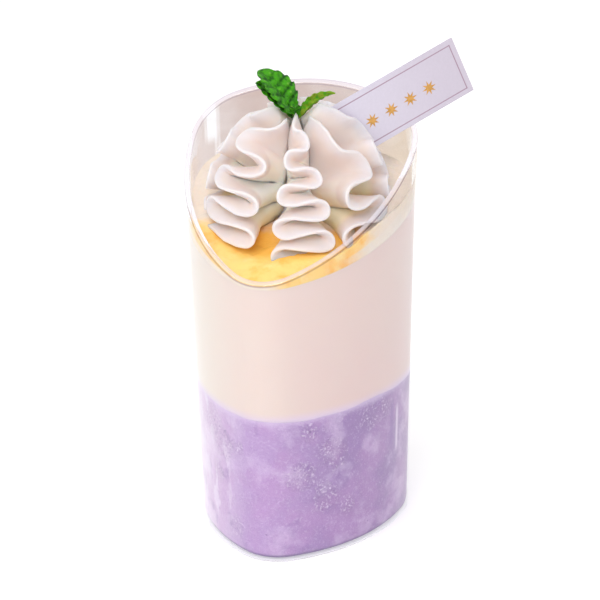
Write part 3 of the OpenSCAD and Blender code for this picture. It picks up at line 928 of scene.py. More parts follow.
def cream_material(looks, shape):
    """Whipped cream, satin and a little translucent, with very fine air bubbles; its deep folds
    are painted lighter as light scattered into them, and its low folds painted mango-coloured,
    partly as real staining and partly as painted light bounced from the mango."""
    material, nodes, links = new_material("whipped_cream")
    vector = object_coordinates(nodes)
    soft = place_group(nodes, links, mottle_group(), vector, Scale=170.0, Low=0.35, High=0.7)
    air = place_group(nodes, links, air_group(), vector, Scale=1500.0, Size=0.3, Amount=0.12)
    depth = point_value(nodes, "depth")
    warm = tuple(c * f for c, f in zip(looks.cream, (1.0, 0.98, 0.955)))
    tone = blend_colours(nodes, links, soft.outputs["Mask"], looks.cream, warm)
    face = smooth_step(nodes, links, depth, 0.0, 0.35)
    tone = blend_colours(nodes, links, face, tone, looks.cream_face)
    # Painted light: the deep folds lighter and warmer, as light scattered into them
    deep = smooth_step(nodes, links, depth, 0.55, 1.0)
    tone = blend_colours(nodes, links, deep, tone, looks.hollow)
    parts = split(nodes, links, vector)
    above = over_mango(nodes, links, parts, shape)
    # Low deep folds painted mango-coloured: partly real staining, partly painted light bounced
    # from the mango
    low = smooth_step(
        nodes, links, above, shape.mango_mid_z + 10 * MM, shape.mango_mid_z + 1 * MM
    )
    stain_and_bounce = maths(nodes, links, "MULTIPLY", low, smooth_step(nodes, links, depth, 0.35, 0.9))
    tone = glaze(nodes, links, tone, stain_and_bounce, 0.6, looks.stain_and_bounce)
    shader = principled(nodes, Roughness=0.45, Subsurface_Weight=0.95)
    scatter(shader, (1.0, 0.8, 0.65), 0.0045)
    normal = bump(nodes, links, soft.outputs["Height"], 0.0003, 0.6)
    normal = bump(nodes, links, air.outputs["Height"], 0.00004, 0.5, normal)
    surface(nodes, links, shader, tone, normal)
    return material


def leaf_material(name, light, dark, bright):
    """A mint leaf: blisters take the light colour, with painted highlights on their tops in the
    bright one, and creases, veins and margins take the dark one as painted shade."""
    material, nodes, links = new_material(name)
    vector = object_coordinates(nodes)
    vein = point_value(nodes, "vein")
    freckle = place_group(nodes, links, mottle_group(), vector, Scale=900.0, Low=0.3, High=0.7)
    cells = nodes.new("ShaderNodeTexVoronoi")
    cells.feature = "SMOOTH_F1"
    cells.inputs["Scale"].default_value = 620
    cells.inputs["Smoothness"].default_value = 0.25
    links.new(vector, cells.inputs["Vector"])
    # Painted shade: creases, veins and margins darker
    crease = smooth_step(nodes, links, cells.outputs["Distance"], 0.3, 0.62)
    depth = maths(nodes, links, "MULTIPLY_ADD", crease, 0.7, freckle.outputs["Mask"])
    depth = maths(nodes, links, "MULTIPLY_ADD", vein, 0.8, depth)
    depth = smooth_step(nodes, links, depth, 0.7, 2.0)
    tone = blend_colours(nodes, links, depth, light, dark)
    # Painted highlight: the tops of the blisters brighter
    top = smooth_step(nodes, links, cells.outputs["Distance"], 0.3, 0.08)
    top = maths(nodes, links, "MULTIPLY", top, maths(nodes, links, "SUBTRACT", 1.0, depth))
    tone = glaze(nodes, links, tone, top, 0.6, bright)
    shader = principled(nodes, Roughness=0.45, Subsurface_Weight=0.05, Specular_IOR_Level=0.2)
    scatter(shader, (0.3, 1.0, 0.1), 0.0006)
    pucker = maths(nodes, links, "MULTIPLY", cells.outputs["Distance"], -1.0)
    normal = bump(nodes, links, pucker, 0.0007)
    normal = bump(nodes, links, freckle.outputs["Height"], 0.00012, 1.0, normal)
    surface(nodes, links, shader, tone, normal)
    return material


def stem_material(looks):
    """The sprig's stalk, with fine darker streaks."""
    material, nodes, links = new_material("mint_stalk")
    vector = object_coordinates(nodes)
    streak = place_group(nodes, links, mottle_group(), vector, Scale=700.0, Low=0.35, High=0.65)
    tone = blend_colours(nodes, links, streak.outputs["Mask"], looks.stem, looks.leaf_shade_and_streaks)
    shader = principled(nodes, Roughness=0.45, Subsurface_Weight=0.05)
    surface(nodes, links, shader, tone, bump(nodes, links, streak.outputs["Height"], 0.0001))
    return material


def card_material(looks, card):
    """Coated card, darker towards its outer end, with a thin printed line inside its edges;
    its UV map is in millimetres."""
    material, nodes, links = new_material("printed_card")
    spot = nodes.new("ShaderNodeUVMap")
    spot.uv_map = "card"
    parts = split(nodes, links, spot.outputs[0])
    half_line = card.line / MM / 2
    soften = 0.05
    marks = []
    for axis, size in (("X", card.length), ("Y", card.width)):
        edge = size / MM / 2 - card.border / MM
        away = maths(nodes, links, "ABSOLUTE", parts[axis])
        off = maths(nodes, links, "ABSOLUTE", maths(nodes, links, "SUBTRACT", away, edge))
        on_line = maths(
            nodes, links, "SUBTRACT", 1.0,
            smooth_step(nodes, links, off, half_line - soften, half_line + soften),
        )
        inside = maths(
            nodes, links, "SUBTRACT", 1.0,
            smooth_step(nodes, links, away, edge + half_line, edge + half_line + soften),
        )
        marks.append((on_line, inside))
    along = maths(nodes, links, "MULTIPLY", marks[0][0], marks[1][1])
    across = maths(nodes, links, "MULTIPLY", marks[1][0], marks[0][1])
    line = maths(nodes, links, "MAXIMUM", along, across)
    vector = object_coordinates(nodes)
    fibre = place_group(nodes, links, mottle_group(), vector, Scale=1800.0, Low=0.3, High=0.7)
    half = card.length / MM / 2
    outer = smooth_step(nodes, links, parts["X"], -half, half)
    tone = blend_colours(nodes, links, outer, looks.card, looks.card_outer)
    grey = blend_colours(nodes, links, outer, tuple(c * 0.97 for c in looks.card),
                         tuple(c * 0.97 for c in looks.card_outer))
    tone = blend_colours(nodes, links, fibre.outputs["Mask"], tone, grey)
    tone = blend_colours(nodes, links, line, tone, looks.line)
    shader = principled(nodes, Roughness=0.42)
    surface(nodes, links, shader, tone, bump(nodes, links, fibre.outputs["Height"], 0.00002))
    return material


def foil_material(looks):
    """Gold foil, a little uneven."""
    material, nodes, links = new_material("gold_foil")
    vector = object_coordinates(nodes)
    uneven = place_group(nodes, links, mottle_group(), vector, Scale=1400.0, Low=0.3, High=0.7)
    bright = tuple(min(1, c * 1.35) for c in looks.foil)
    tone = blend_colours(nodes, links, uneven.outputs["Mask"], looks.foil, bright)
    shader = principled(nodes, Metallic=0.85, Roughness=0.34)
    surface(nodes, links, shader, tone, bump(nodes, links, uneven.outputs["Height"], 0.00003))
    return material


# Pieces


def edge_rings(shape, inset, z, edge_r, steps=8):
    """Rings round a rounded lower edge, from the flat out to the wall."""
    angles = [90 * DEGREE * i / steps for i in range(steps + 1)]
    return [
        shape.level(inset + edge_r * (1 - math.sin(a)), z + edge_r * (1 - math.cos(a)))
        for a in angles
    ]


def rim_rings(shape, wall, steps=6):
    """Rings over the rounded rim, from the outer wall to the inner."""
    rings = []
    for i in range(steps + 1):
        a = 90 * DEGREE * i / steps
        rings.append((shape.edge_r * (1 - math.cos(a)), shape.edge_r * (1 - math.sin(a))))
    rings += [(wall - inset, drop) for inset, drop in reversed(rings)]
    return [shape.slant(inset, shape.rim_mid_z - drop, shape.rim_slope) for inset, drop in rings]


class CUP_OT_clear_cup(bpy.types.Operator):
    """Build the clear cup: walls and floor in one moulding"""

    bl_idname = "dessert.clear_cup"
    bl_label = "Clear cup"

    wall_steps = 15
    foot_shade_line = 0.4
    inner_shade_line = 0.8

    def execute(self, context):
        s = sizes()
        cup = s["cup"]
        shape = CupShape(cup, s["filling"])
        outer_foot = edge_rings(shape, 0, 0, cup.foot_edge_r)
        inner_foot = edge_rings(shape, cup.wall, cup.floor, cup.floor_edge_r)
        rim = rim_rings(shape, cup.wall)
        rings = [
            *outer_foot,
            *between(outer_foot[-1], rim[0], self.wall_steps, ends=False),
            lerp(outer_foot[-1], rim[0], 0.998),
            *rim,
            lerp(rim[-1], inner_foot[-1], 0.002),
            *between(rim[-1], inner_foot[-1], self.wall_steps, ends=False),
            *reversed(inner_foot),
        ]
        piece = loft("clear_cup", rings, (0, 0, 0), (0, 0, cup.floor))
        # Painted dark lines along the foot and both edges of the rim, standing in for how
        # refraction darkens the edges of clear plastic, and a painted glow on the cut face between
        # those edges
        start = len(outer_foot) + self.wall_steps
        edge = np.zeros((len(rings), len(shape.foot)))
        edge[2:7] = self.foot_shade_line
        edge[start:start + 3] = 1
        edge[start + len(rim) - 2:start + len(rim)] = self.inner_shade_line
        bright = np.zeros((len(rings), len(shape.foot)))
        bright[start + 4:start + len(rim) - 3] = 1
        for label, mask in (("edge", edge), ("bright", bright)):
            carry(piece, label, [*mask.reshape(-1), 0, 0])
        outward(piece)
        material = plastic_material(s["looks"], cup, shape)
        finish_piece(piece, material, "cup", "clear_plastic", "cup_shell")
        return {"FINISHED"}


def taro_surface(filling, points):
    """Height of the taro's top at points in plan."""
    flat = np.column_stack([points[:, :2], np.zeros(len(points))])
    return filling.taro_top + filling.taro_wave * wander(flat, 26 * MM, 5)


class CUP_OT_layers(bpy.types.Operator):
    """Build the taro, the pudding and the mango"""

    bl_idname = "dessert.layers"
    bl_label = "Layers"

    def execute(self, context):
        s = sizes()
        cup, filling, looks = s["cup"], s["filling"], s["looks"]
        shape = CupShape(cup, filling)
        self.taro(shape, cup, filling, looks)
        self.pudding(shape, cup, filling, looks)
        self.mango(shape, cup, filling, looks)
        return {"FINISHED"}

    def taro(self, shape, cup, filling, looks):
        bed = cup.floor - filling.soak
        foot = edge_rings(shape, shape.inset, bed, cup.floor_edge_r)
        top = shape.level(shape.inset, taro_surface(filling, shape.level(shape.inset, 0)))
        centre = np.array([0, 0, filling.taro_top])
        rings = [*foot, *between(foot[-1], top, 30, ends=False), lerp(foot[-1], top, 0.998), top]
        rings += [lerp(top, centre, t) for t in (0.004, 0.25, 0.5, 0.75)]
        piece = loft("taro_mash", rings, (0, 0, bed), centre)
        outward(piece)
        material = taro_material(looks, cup, filling)
        finish_piece(piece, material, "cup", "taro", "taro_layer")

    def pudding(self, shape, cup, filling, looks):
        low = shape.level(shape.inset, taro_surface(filling, shape.level(shape.inset, 0)))
        high = shape.slant(shape.inset, shape.pudding_mid_z, shape.pudding_slope)
        low_centre = np.array([0, 0, filling.taro_top])
        high_centre = np.array([0, 0, shape.pudding_mid_z])
        rings = [lerp(low_centre, low, t) for t in (0.25, 0.5, 0.75, 0.996)]
        rings += [low, lerp(low, high, 0.002), *between(low, high, 24, ends=False)]
        rings += [lerp(low, high, 0.998), high]
        rings += [lerp(high, high_centre, t) for t in (0.004, 0.25, 0.5, 0.75)]
        piece = loft("milk_pudding", rings, low_centre, high_centre)
        outward(piece)
        material = pudding_material(looks, cup, filling)
        finish_piece(piece, material, "cup", "pudding", "pudding_layer")

    def mango(self, shape, cup, filling, looks):
        """A lumpy slab that climbs the wall, most at the front right and the left."""
        low = shape.slant(shape.inset, shape.pudding_mid_z, shape.pudding_slope)
        edge = shape.slant(shape.inset, shape.mango_mid_z, shape.mango_slope)
        angles = np.arctan2(edge[:, 1], edge[:, 0])
        right = np.exp(-(((angles + 35 * DEGREE) / (45 * DEGREE)) ** 2))
        left = np.exp(-(((angles + 140 * DEGREE) / (30 * DEGREE)) ** 2))
        climb = filling.mango_climb * (0.25 + 0.9 * right + 0.5 * left)
        climb *= 1 + 0.35 * wander(edge, 16 * MM, 3)
        lip_gap = shape.slant(shape.inset, shape.rim_mid_z - 1.2 * MM, shape.rim_slope)[:, 2]
        top = shape.level(shape.inset, np.minimum(edge[:, 2] + climb, lip_gap))
        centre = np.array([0, 0, shape.mango_mid_z])
        rings = [lerp(np.array([0, 0, shape.pudding_mid_z]), low, 0.996), low]
        rings += [lerp(low, top, 0.01), *between(low, top, 8)[1:]]
        for t in np.linspace(0, 1, 40)[1:-1] ** 1.6:
            ring = lerp(top, centre, t)
            plane = shape.mango_z(ring[:, 1])
            reach = np.linalg.norm(ring[:, :2] - top[:, :2], axis=1)
            meniscus = np.exp(-reach / (1.1 * MM))
            lumps = filling.mango_wave * wander(ring, 9 * MM, 9) * (1 - meniscus)
            lumps += filling.mango_bank * (1 - np.exp(-((reach / (3 * MM)) ** 2)))
            ring[:, 2] = plane + (top[:, 2] - plane) * meniscus + lumps
            rings.append(ring)
        piece = loft("mango_puree", rings, (0, 0, shape.pudding_mid_z), centre)
        outward(piece)
        material = mango_material(looks, cup, sizes()["cream"], shape)
        finish_piece(piece, material, "cup", "mango", "mango_layer")


class Mound:
    """The cream mound in the middle and the rule that its petals follow."""

    crest_power = 2.1
    hook_share = 0.22
    hook_power = 3
    reach_power = 1.2
    root_fill_share = 0.42
    swell_depth = 2.7 * MM
    top_taper_share = 0.035
    drift_scale = 13 * MM

    def __init__(self, shape, cup, cream):
        self.shape = shape
        self.cream = cream
        self.centre = np.array([cream.x, cream.y, 0])
        self.top = cup.height + cream.above
        self.foot_z = shape.mango_z(cream.y - cream.core_foot_r)
        self.peak_z = self.top - cream.core_drop
        self.shoulder_z = self.peak_z - cream.core_peak

    def core_r(self, z):
        cream = self.cream
        t = (z - self.foot_z) / (self.shoulder_z - self.foot_z)
        return lerp(cream.core_foot_r, cream.core_top_r, t)

    def middle(self, petal, climb, reach):
        """Points of a petal's middle surface: climb from foot to top, reach from root to crest."""
        cream, shape = self.cream, self.shape
        direction, top_share, drop, swing, fade, count, start, crowd = petal[1:9]
        direction = direction * DEGREE
        top_z = self.top - drop * MM
        phase = start * DEGREE + 2 * math.pi * count * (1 - climb) ** crowd
        hook = self.hook_share / count / crowd * np.sin(2 * phase) * reach**self.hook_power
        turned = 90 * DEGREE * (climb + hook)
        rise = np.sign(turned) * np.abs(np.sin(turned)) ** (2 / self.crest_power)
        foot_z = shape.mango_z(cream.y + cream.radius * math.sin(direction)) - cream.foot_sink
        crest_r = cream.radius * np.abs(np.cos(turned)) ** (2 / self.crest_power)
        crest_z = lerp(foot_z, top_z, rise)
        root_foot_z = shape.mango_z(cream.y) - cream.foot_sink
        root_z = lerp(root_foot_z, top_z - cream.root_top_drop, climb / top_share)
        root_r = self.core_r(root_z) + cream.gap
        lean = swing * DEGREE * np.sin(phase) * reach**self.reach_power * (1 - climb) ** fade
        radius = lerp(root_r, crest_r, reach)
        angle = direction + lean
        height = lerp(root_z, crest_z, reach)
        return np.stack([radius * np.cos(angle), radius * np.sin(angle), height], -1)

    def side(self, petal, climb, reach):
        """Directions square to a petal's middle surface."""
        step = 0.003
        up = self.middle(petal, climb + step, reach) - self.middle(petal, climb - step, reach)
        out = self.middle(petal, climb, reach + step) - self.middle(petal, climb, reach - step)
        square = np.cross(out, up)
        return square / np.linalg.norm(square, axis=-1, keepdims=True)

    def petal_rings(self, petal, rings=420, across=18, round_steps=7):
        """Rings up a petal, each out along one face, over a round crest and back."""
        cream = self.cream
        top_share = petal[2]
        climb = np.linspace(petal[-1], top_share, rings)[:, None]
        root = self.middle(petal, climb, np.zeros((rings, 1)))
        crest = self.middle(petal, climb, np.ones((rings, 1)))
        span = np.linalg.norm(crest - root, axis=-1)
        root_r = np.linalg.norm(root[..., :2], axis=-1)
        root_t = np.minimum(cream.root_t, self.root_fill_share * root_r)
        crest_t = np.minimum(cream.crest_t, root_t)
        cap = np.minimum(crest_t / 2 / span, 0.4)
        start = 1 - cap
        web = start * np.linspace(0, 1, across) ** 0.85
        caps = start + cap * np.sin(np.linspace(0, 90 * DEGREE, round_steps + 1)[1:])
        reach = np.concatenate([web, caps], 1)
        depth = (1 - reach) * span
        swell = 1 - np.exp(-((depth / self.swell_depth) ** 1.5))
        local_r = np.linalg.norm(self.middle(petal, climb, reach)[..., :2], axis=-1)
        flare = cream.root_flare * np.clip(1 - reach, 0, 1) ** 1.5
        body_t = np.minimum(cream.body_t + flare, 1.05 * local_r)
        thick = crest_t + (body_t - crest_t) * swell
        over = np.clip((reach - start) / cap, 0, 1)
        thick = thick * np.sqrt(1 - over**2)
        taper = self.top_taper_share
        end = np.clip((climb - (top_share - taper)) / taper, 0, 1)
        thick = thick * np.sqrt(1 - 0.97 * end**2)
        safe = np.maximum(reach, 0.02)
        middle = self.middle(petal, climb, reach)
        square = self.side(petal, climb, safe)
        seed = 100 + PETALS.index(petal)
        drift = self.drift(middle, seed) * np.clip(reach * 1.6, 0, 1)[..., None]
        middle = middle + drift * (1 - end[..., None])
        count, crowd = petal[6], petal[8]
        pitch = (self.top - self.foot_z) * (1 - climb) ** (1 - crowd) / count / crowd
        folded = 0.5 + 0.5 * np.clip((9 * MM - pitch) / (4 * MM), 0, 1)
        depths = np.clip((depth - 0.5 * MM) / (4.5 * MM), 0, 1) * folded
        self.depths = np.concatenate([depths, depths[:, -2::-1]], 1)
        near = middle + square * thick[..., None] / 2
        far = (middle - square * thick[..., None] / 2)[:, -2::-1]
        return np.concatenate([near, far], 1) + self.centre

    def drift(self, points, seed):
        """Small smooth offsets that take a petal a little off its rule."""
        parts = [wander(points, self.drift_scale, seed * 7 + k) for k in range(3)]
        return self.cream.wobble * np.stack(parts, -1)


class CUP_OT_cream(bpy.types.Operator):
    """Build the eight piped petals round the mound"""

    bl_idname = "dessert.cream"
    bl_label = "Piped cream"

    def execute(self, context):
        s = sizes()
        cup, cream = s["cup"], s["cream"]
        shape = CupShape(cup, s["filling"])
        mound = Mound(shape, cup, cream)
        material = cream_material(s["looks"], shape)
        for petal in PETALS:
            rings = mound.petal_rings(petal)
            low = rings[0].mean(axis=0)
            high = rings[-1].mean(axis=0)
            piece = loft("piped_petal_" + petal[0], rings, low, high)
            carry(piece, "depth", [*mound.depths.reshape(-1), 1, 0])
            finish_piece(piece, material, "cup", "cream", "cream_petal_" + petal[0])
        return {"FINISHED"}


def socket_id(tree, label):
    """Identifier of a geometry tree's named input."""
    for item in tree.interface.items_tree:
        if item.in_out == "INPUT" and item.name == label:
            return item.identifier
    raise RuntimeError("no input named " + label)


def geometry_tree(name, inputs):
    """A geometry node tree with named inputs and a geometry output."""
    tree = bpy.data.node_groups.new(name, "GeometryNodeTree")
    for label, kind, value in inputs:
        socket = tree.interface.new_socket(label, in_out="INPUT", socket_type=kind)
        if value is not None:
            socket.default_value = value
    tree.interface.new_socket("Geometry", in_out="OUTPUT", socket_type="NodeSocketGeometry")
    return tree, tree.nodes.new("NodeGroupInput"), tree.nodes.new("NodeGroupOutput")


def grown_piece(name, tree, values):
    """Runs a geometry tree with its named values and keeps the result as a plain mesh."""
    holder = bpy.data.objects.new(name + "_holder", bpy.data.meshes.new(name + "_holder"))
    bpy.context.scene.collection.objects.link(holder)
    modifier = holder.modifiers.new(name, "NODES")
    modifier.node_group = tree
    for label, value in values.items():
        modifier[socket_id(tree, label)] = value
    graph = bpy.context.evaluated_depsgraph_get()
    mesh = bpy.data.meshes.new_from_object(holder.evaluated_get(graph))
    bpy.data.objects.remove(holder)
    mesh.name = name
    piece = bpy.data.objects.new(name, mesh)
    bpy.context.scene.collection.objects.link(piece)
    return piece


def mound_tree(material):
    """A cone with soft uneven bumps, closed flat at its foot and at its narrow top."""
    tree, start, end = geometry_tree(
        "cream mound",
        [("Foot radius", "NodeSocketFloat", 0.007), ("Top radius", "NodeSocketFloat", 0.0017),
         ("Height", "NodeSocketFloat", 0.02), ("Ridge", "NodeSocketFloat", 0.0002)],
    )
    nodes, links = tree.nodes, tree.links
    cone = nodes.new("GeometryNodeMeshCone")
    cone.fill_type = "NGON"
    cone.inputs["Vertices"].default_value = 96
    cone.inputs["Side Segments"].default_value = 60
    links.new(start.outputs["Foot radius"], cone.inputs["Radius Bottom"])
    links.new(start.outputs["Top radius"], cone.inputs["Radius Top"])
    links.new(start.outputs["Height"], cone.inputs["Depth"])
    noise = nodes.new("ShaderNodeTexNoise")
    noise.inputs["Scale"].default_value = 260
    noise.inputs["Detail"].default_value = 2
    spread = maths(nodes, links, "SUBTRACT", noise.outputs["Fac"], 0.5)
    amount = maths(nodes, links, "MULTIPLY", spread, start.outputs["Ridge"])
    normal = nodes.new("GeometryNodeInputNormal")
    offset = nodes.new("ShaderNodeVectorMath")
    offset.operation = "SCALE"
    links.new(normal.outputs[0], offset.inputs[0])
    links.new(amount, offset.inputs["Scale"])
    move = nodes.new("GeometryNodeSetPosition")
    links.new(cone.outputs["Mesh"], move.inputs["Geometry"])
    links.new(offset.outputs[0], move.inputs["Offset"])
    smooth = nodes.new("GeometryNodeSetShadeSmooth")
    links.new(move.outputs[0], smooth.inputs[0])
    made_of(nodes, links, smooth.outputs[0], end, material)
    return tree


class CUP_OT_mound(bpy.types.Operator):
    """Build the mound of cream that the petals are piped against"""

    bl_idname = "dessert.mound"
    bl_label = "Cream mound"

    def execute(self, context):
        s = sizes()
        cream = s["cream"]
        shape = CupShape(s["cup"], s["filling"])
        mound = Mound(shape, s["cup"], cream)
        material = bpy.data.materials.get("whipped_cream") or cream_material(s["looks"], shape)
        foot_z = mound.foot_z - cream.foot_sink / 4
        piece = grown_piece(
            "cream_mound", mound_tree(material),
            {"Foot radius": cream.core_foot_r, "Top radius": cream.core_top_r,
             "Height": mound.shoulder_z - foot_z, "Ridge": 0.3 * MM},
        )
        piece.data.transform(Matrix.Translation((cream.x, cream.y, foot_z)))
        outward(piece)
        finish_piece(piece, material, "cup", "cream", "cream_core")
        return {"FINISHED"}


def leaf_frame(mint, mound, drop, direction, rise, roll):
    """Place of a leaf: X along it, Y across it."""
    stem_top = mound.shoulder_z + mint.stem_above
    return (
        Matrix.Translation((mound.centre[0], mound.centre[1], stem_top - drop))
        @ Matrix.Rotation(direction * DEGREE, 4, "Z")
        @ Matrix.Translation((mint.stem_d / 2 + mint.stem_gap, 0, 0))
        @ Matrix.Rotation(-rise * DEGREE, 4, "Y")
        @ Matrix.Rotation(roll * DEGREE, 4, "X")
    )


class CUP_OT_mint(bpy.types.Operator):
    """Build the mint sprig: a stem and four blistered leaves"""

    bl_idname = "dessert.mint"
    bl_label = "Mint sprig"

    teeth = 6
    veins = 5.5
    along_steps = 90
    across_steps = 44
    outline_power = 0.55
    trough_share = 0.25

    def execute(self, context):
        s = sizes()
        mint, looks = s["mint"], s["looks"]
        mound = Mound(CupShape(s["cup"], s["filling"]), s["cup"], s["cream"])
        green = leaf_material("mint_leaf", looks.leaf, looks.leaf_shade_and_streaks, looks.leaf_highlight)
        # The young leaf's creases are painted in shade with the leaf green, and its blister tops
        # with its own colour
        young = leaf_material(
            "young_mint_leaf", looks.leaf_young, looks.leaf, looks.leaf_young
        )
        for name, drop, arch, blunt, direction, rise, roll in LEAVES:
            long = getattr(mint, name + "_l")
            wide = getattr(mint, name + "_w")
            place = leaf_frame(mint, mound, drop * mint.leaf_t, direction, rise, roll)
            piece = self.leaf(name, mint, long, wide, arch, blunt, place)
            material = young if name == "small" else green
            slot = "leaf_young" if name == "small" else "leaf"
            finish_piece(piece, material, "mint", slot, "mint_leaf_" + name)
        self.stem(mint, mound, looks)
        return {"FINISHED"}

    def leaf(self, name, mint, long, wide, arch, blunt, place):
        """Upper and lower faces over a grid, joined along a toothed margin."""
        u = np.linspace(0.004, 0.996, self.along_steps)[:, None]
        v = np.linspace(-1, 1, self.across_steps)[None, :]
        saw = (u * self.teeth + 0.15 * np.abs(v)) % 1
        tooth = 1 - 0.13 * (1 - saw) * np.clip(np.abs(v) * 2 - 1, 0, 1) ** 2
        body = np.sin(np.pi * u**blunt) ** self.outline_power
        half = wide / 2 * body
        y = v * half * tooth
        x = long * u + 0 * v
        ribs = u * self.veins - 0.62 * np.abs(v) ** 0.85
        swell = np.abs(np.sin(np.pi * ribs)) ** 0.8
        middle = np.exp(-((v / 0.09) ** 2))
        fade = np.clip(body, 0, 1) * (1 - np.abs(v) ** 6)
        lift = mint.blister * (wide / mint.large_w) * swell * (1 - middle) * fade
        lift -= 0.35 * mint.blister * middle * body
        frill = 0.22 * mint.blister * np.sin(2 * np.pi * u * self.teeth + 2 * v) * v**2
        z = 4 * long * arch * u * (1 - u) + self.trough_share * np.abs(v) * half + lift + frill
        vein = np.clip(1.05 - 1.25 * swell, 0, 1) * 0.75 + 0.5 * middle
        vein += np.clip(np.abs(v) - 0.82, 0, 1) * 2.2
        vein = np.clip(vein + 0 * u, 0, 1)
        thick = mint.leaf_t * 0.8 * (1 - 0.6 * np.abs(v) ** 3) + 0 * u
        m, n = z.shape
        upper = np.stack([x, y, z], -1)
        lower = np.stack([x, y, z - thick], -1)
        grid = np.concatenate([upper.reshape(-1, 3), lower.reshape(-1, 3)])
        faces = []
        for i in range(m - 1):
            for j in range(n - 1):
                a = i * n + j
                faces.append((a, a + n, a + n + 1, a + 1))
                b = a + m * n
                faces.append((b, b + 1, b + n + 1, b + n))
        border = list(range(n)) + [i * n + n - 1 for i in range(1, m)]
        border += [(m - 1) * n + j for j in range(n - 2, -1, -1)]
        border += [i * n for i in range(m - 2, 0, -1)]
        for k, a in enumerate(border):
            b = border[(k + 1) % len(border)]
            faces.append((a, b, b + m * n, a + m * n))
        piece = add_mesh("mint_leaf_blade_" + name, grid, faces)
        carry(piece, "vein", np.tile(vein.reshape(-1), 2))
        piece.data.transform(place)
        outward(piece)
        return piece

    def stem(self, mint, mound, looks):
        """A four-sided stalk with soft corners, a little thicker at its joint."""
        rings = []
        low_z = mound.shoulder_z - mint.stem_in
        tall = mint.stem_in + mint.stem_above
        angles = np.linspace(0, 2 * np.pi, 32, endpoint=False)
        for t in np.linspace(0, 1, 40):
            square = 1 + 0.07 * np.cos(4 * angles)
            knot = 1 + 0.06 * math.exp(-(((t - 0.93) / 0.05) ** 2))
            radius = mint.stem_d / 2 * 0.9 * square * knot
            x = mound.centre[0] + radius * np.cos(angles)
            y = mound.centre[1] + radius * np.sin(angles)
            rings.append(np.column_stack([x, y, np.full(32, low_z + tall * t)]))
        low = (mound.centre[0], mound.centre[1], low_z)
        high = (mound.centre[0], mound.centre[1], low_z + tall)
        piece = loft("mint_stalk", rings, low, high)
        outward(piece)
        finish_piece(piece, stem_material(looks), "mint", "stem", "mint_stem")


def card_frame(card, cream, shape):
    """Place of the card: X along it and out, Y across it and up, Z square to it."""
    lean_dir = FRONT_CORNER_DIR + SECTOR - card.lean_turn
    lean_r = shape.corner_in_r + shape.draft * shape.rim_mid_z
    lean_x = lean_r * math.cos(lean_dir)
    lean_y = lean_r * math.sin(lean_dir)
    lean_z = shape.rim_mid_z + shape.rim_slope * lean_y + card.seat_gap
    reach_x = lean_x - cream.x - card.in_x
    reach_y = lean_y - cream.y - card.in_y
    direction = math.atan2(reach_y, reach_x)
    inside = math.hypot(reach_x, reach_y) / math.cos(card.slope)
    return (
        Matrix.Translation((lean_x, lean_y, lean_z))
        @ Matrix.Rotation(direction, 4, "Z")
        @ Matrix.Rotation(-card.slope, 4, "Y")
        @ Matrix.Translation((card.length / 2 - inside, 0, card.width / 2))
        @ Matrix.Rotation(90 * DEGREE, 4, "X")
    )


def foil_tree(material):
    """A row of eight-pointed foil stars, each a thin raised plate."""
    tree, start, end = geometry_tree(
        "foil stars",
        [("Count", "NodeSocketInt", 5), ("Step", "NodeSocketFloat", 0.0056),
         ("Radius", "NodeSocketFloat", 0.0017), ("Height", "NodeSocketFloat", 0.00002)],
    )
    nodes, links = tree.nodes, tree.links
    row = nodes.new("GeometryNodeMeshLine")
    links.new(start.outputs["Count"], row.inputs["Count"])
    step = nodes.new("ShaderNodeCombineXYZ")
    links.new(start.outputs["Step"], step.inputs["X"])
    links.new(step.outputs[0], row.inputs["Offset"])
    star = nodes.new("GeometryNodeCurveStar")
    star.inputs["Points"].default_value = 8
    links.new(start.outputs["Radius"], star.inputs["Outer Radius"])
    inner = maths(nodes, links, "MULTIPLY", start.outputs["Radius"], 0.42)
    links.new(inner, star.inputs["Inner Radius"])
    fill = nodes.new("GeometryNodeFillCurve")
    links.new(star.outputs["Curve"], fill.inputs["Curve"])
    raised = nodes.new("GeometryNodeExtrudeMesh")
    raised.inputs["Individual"].default_value = False
    links.new(fill.outputs["Mesh"], raised.inputs["Mesh"])
    links.new(start.outputs["Height"], raised.inputs["Offset Scale"])
    stars = nodes.new("GeometryNodeInstanceOnPoints")
    links.new(row.outputs["Mesh"], stars.inputs["Points"])
    links.new(raised.outputs["Mesh"], stars.inputs["Instance"])
    made_of(nodes, links, stars.outputs[0], end, material)
    return tree


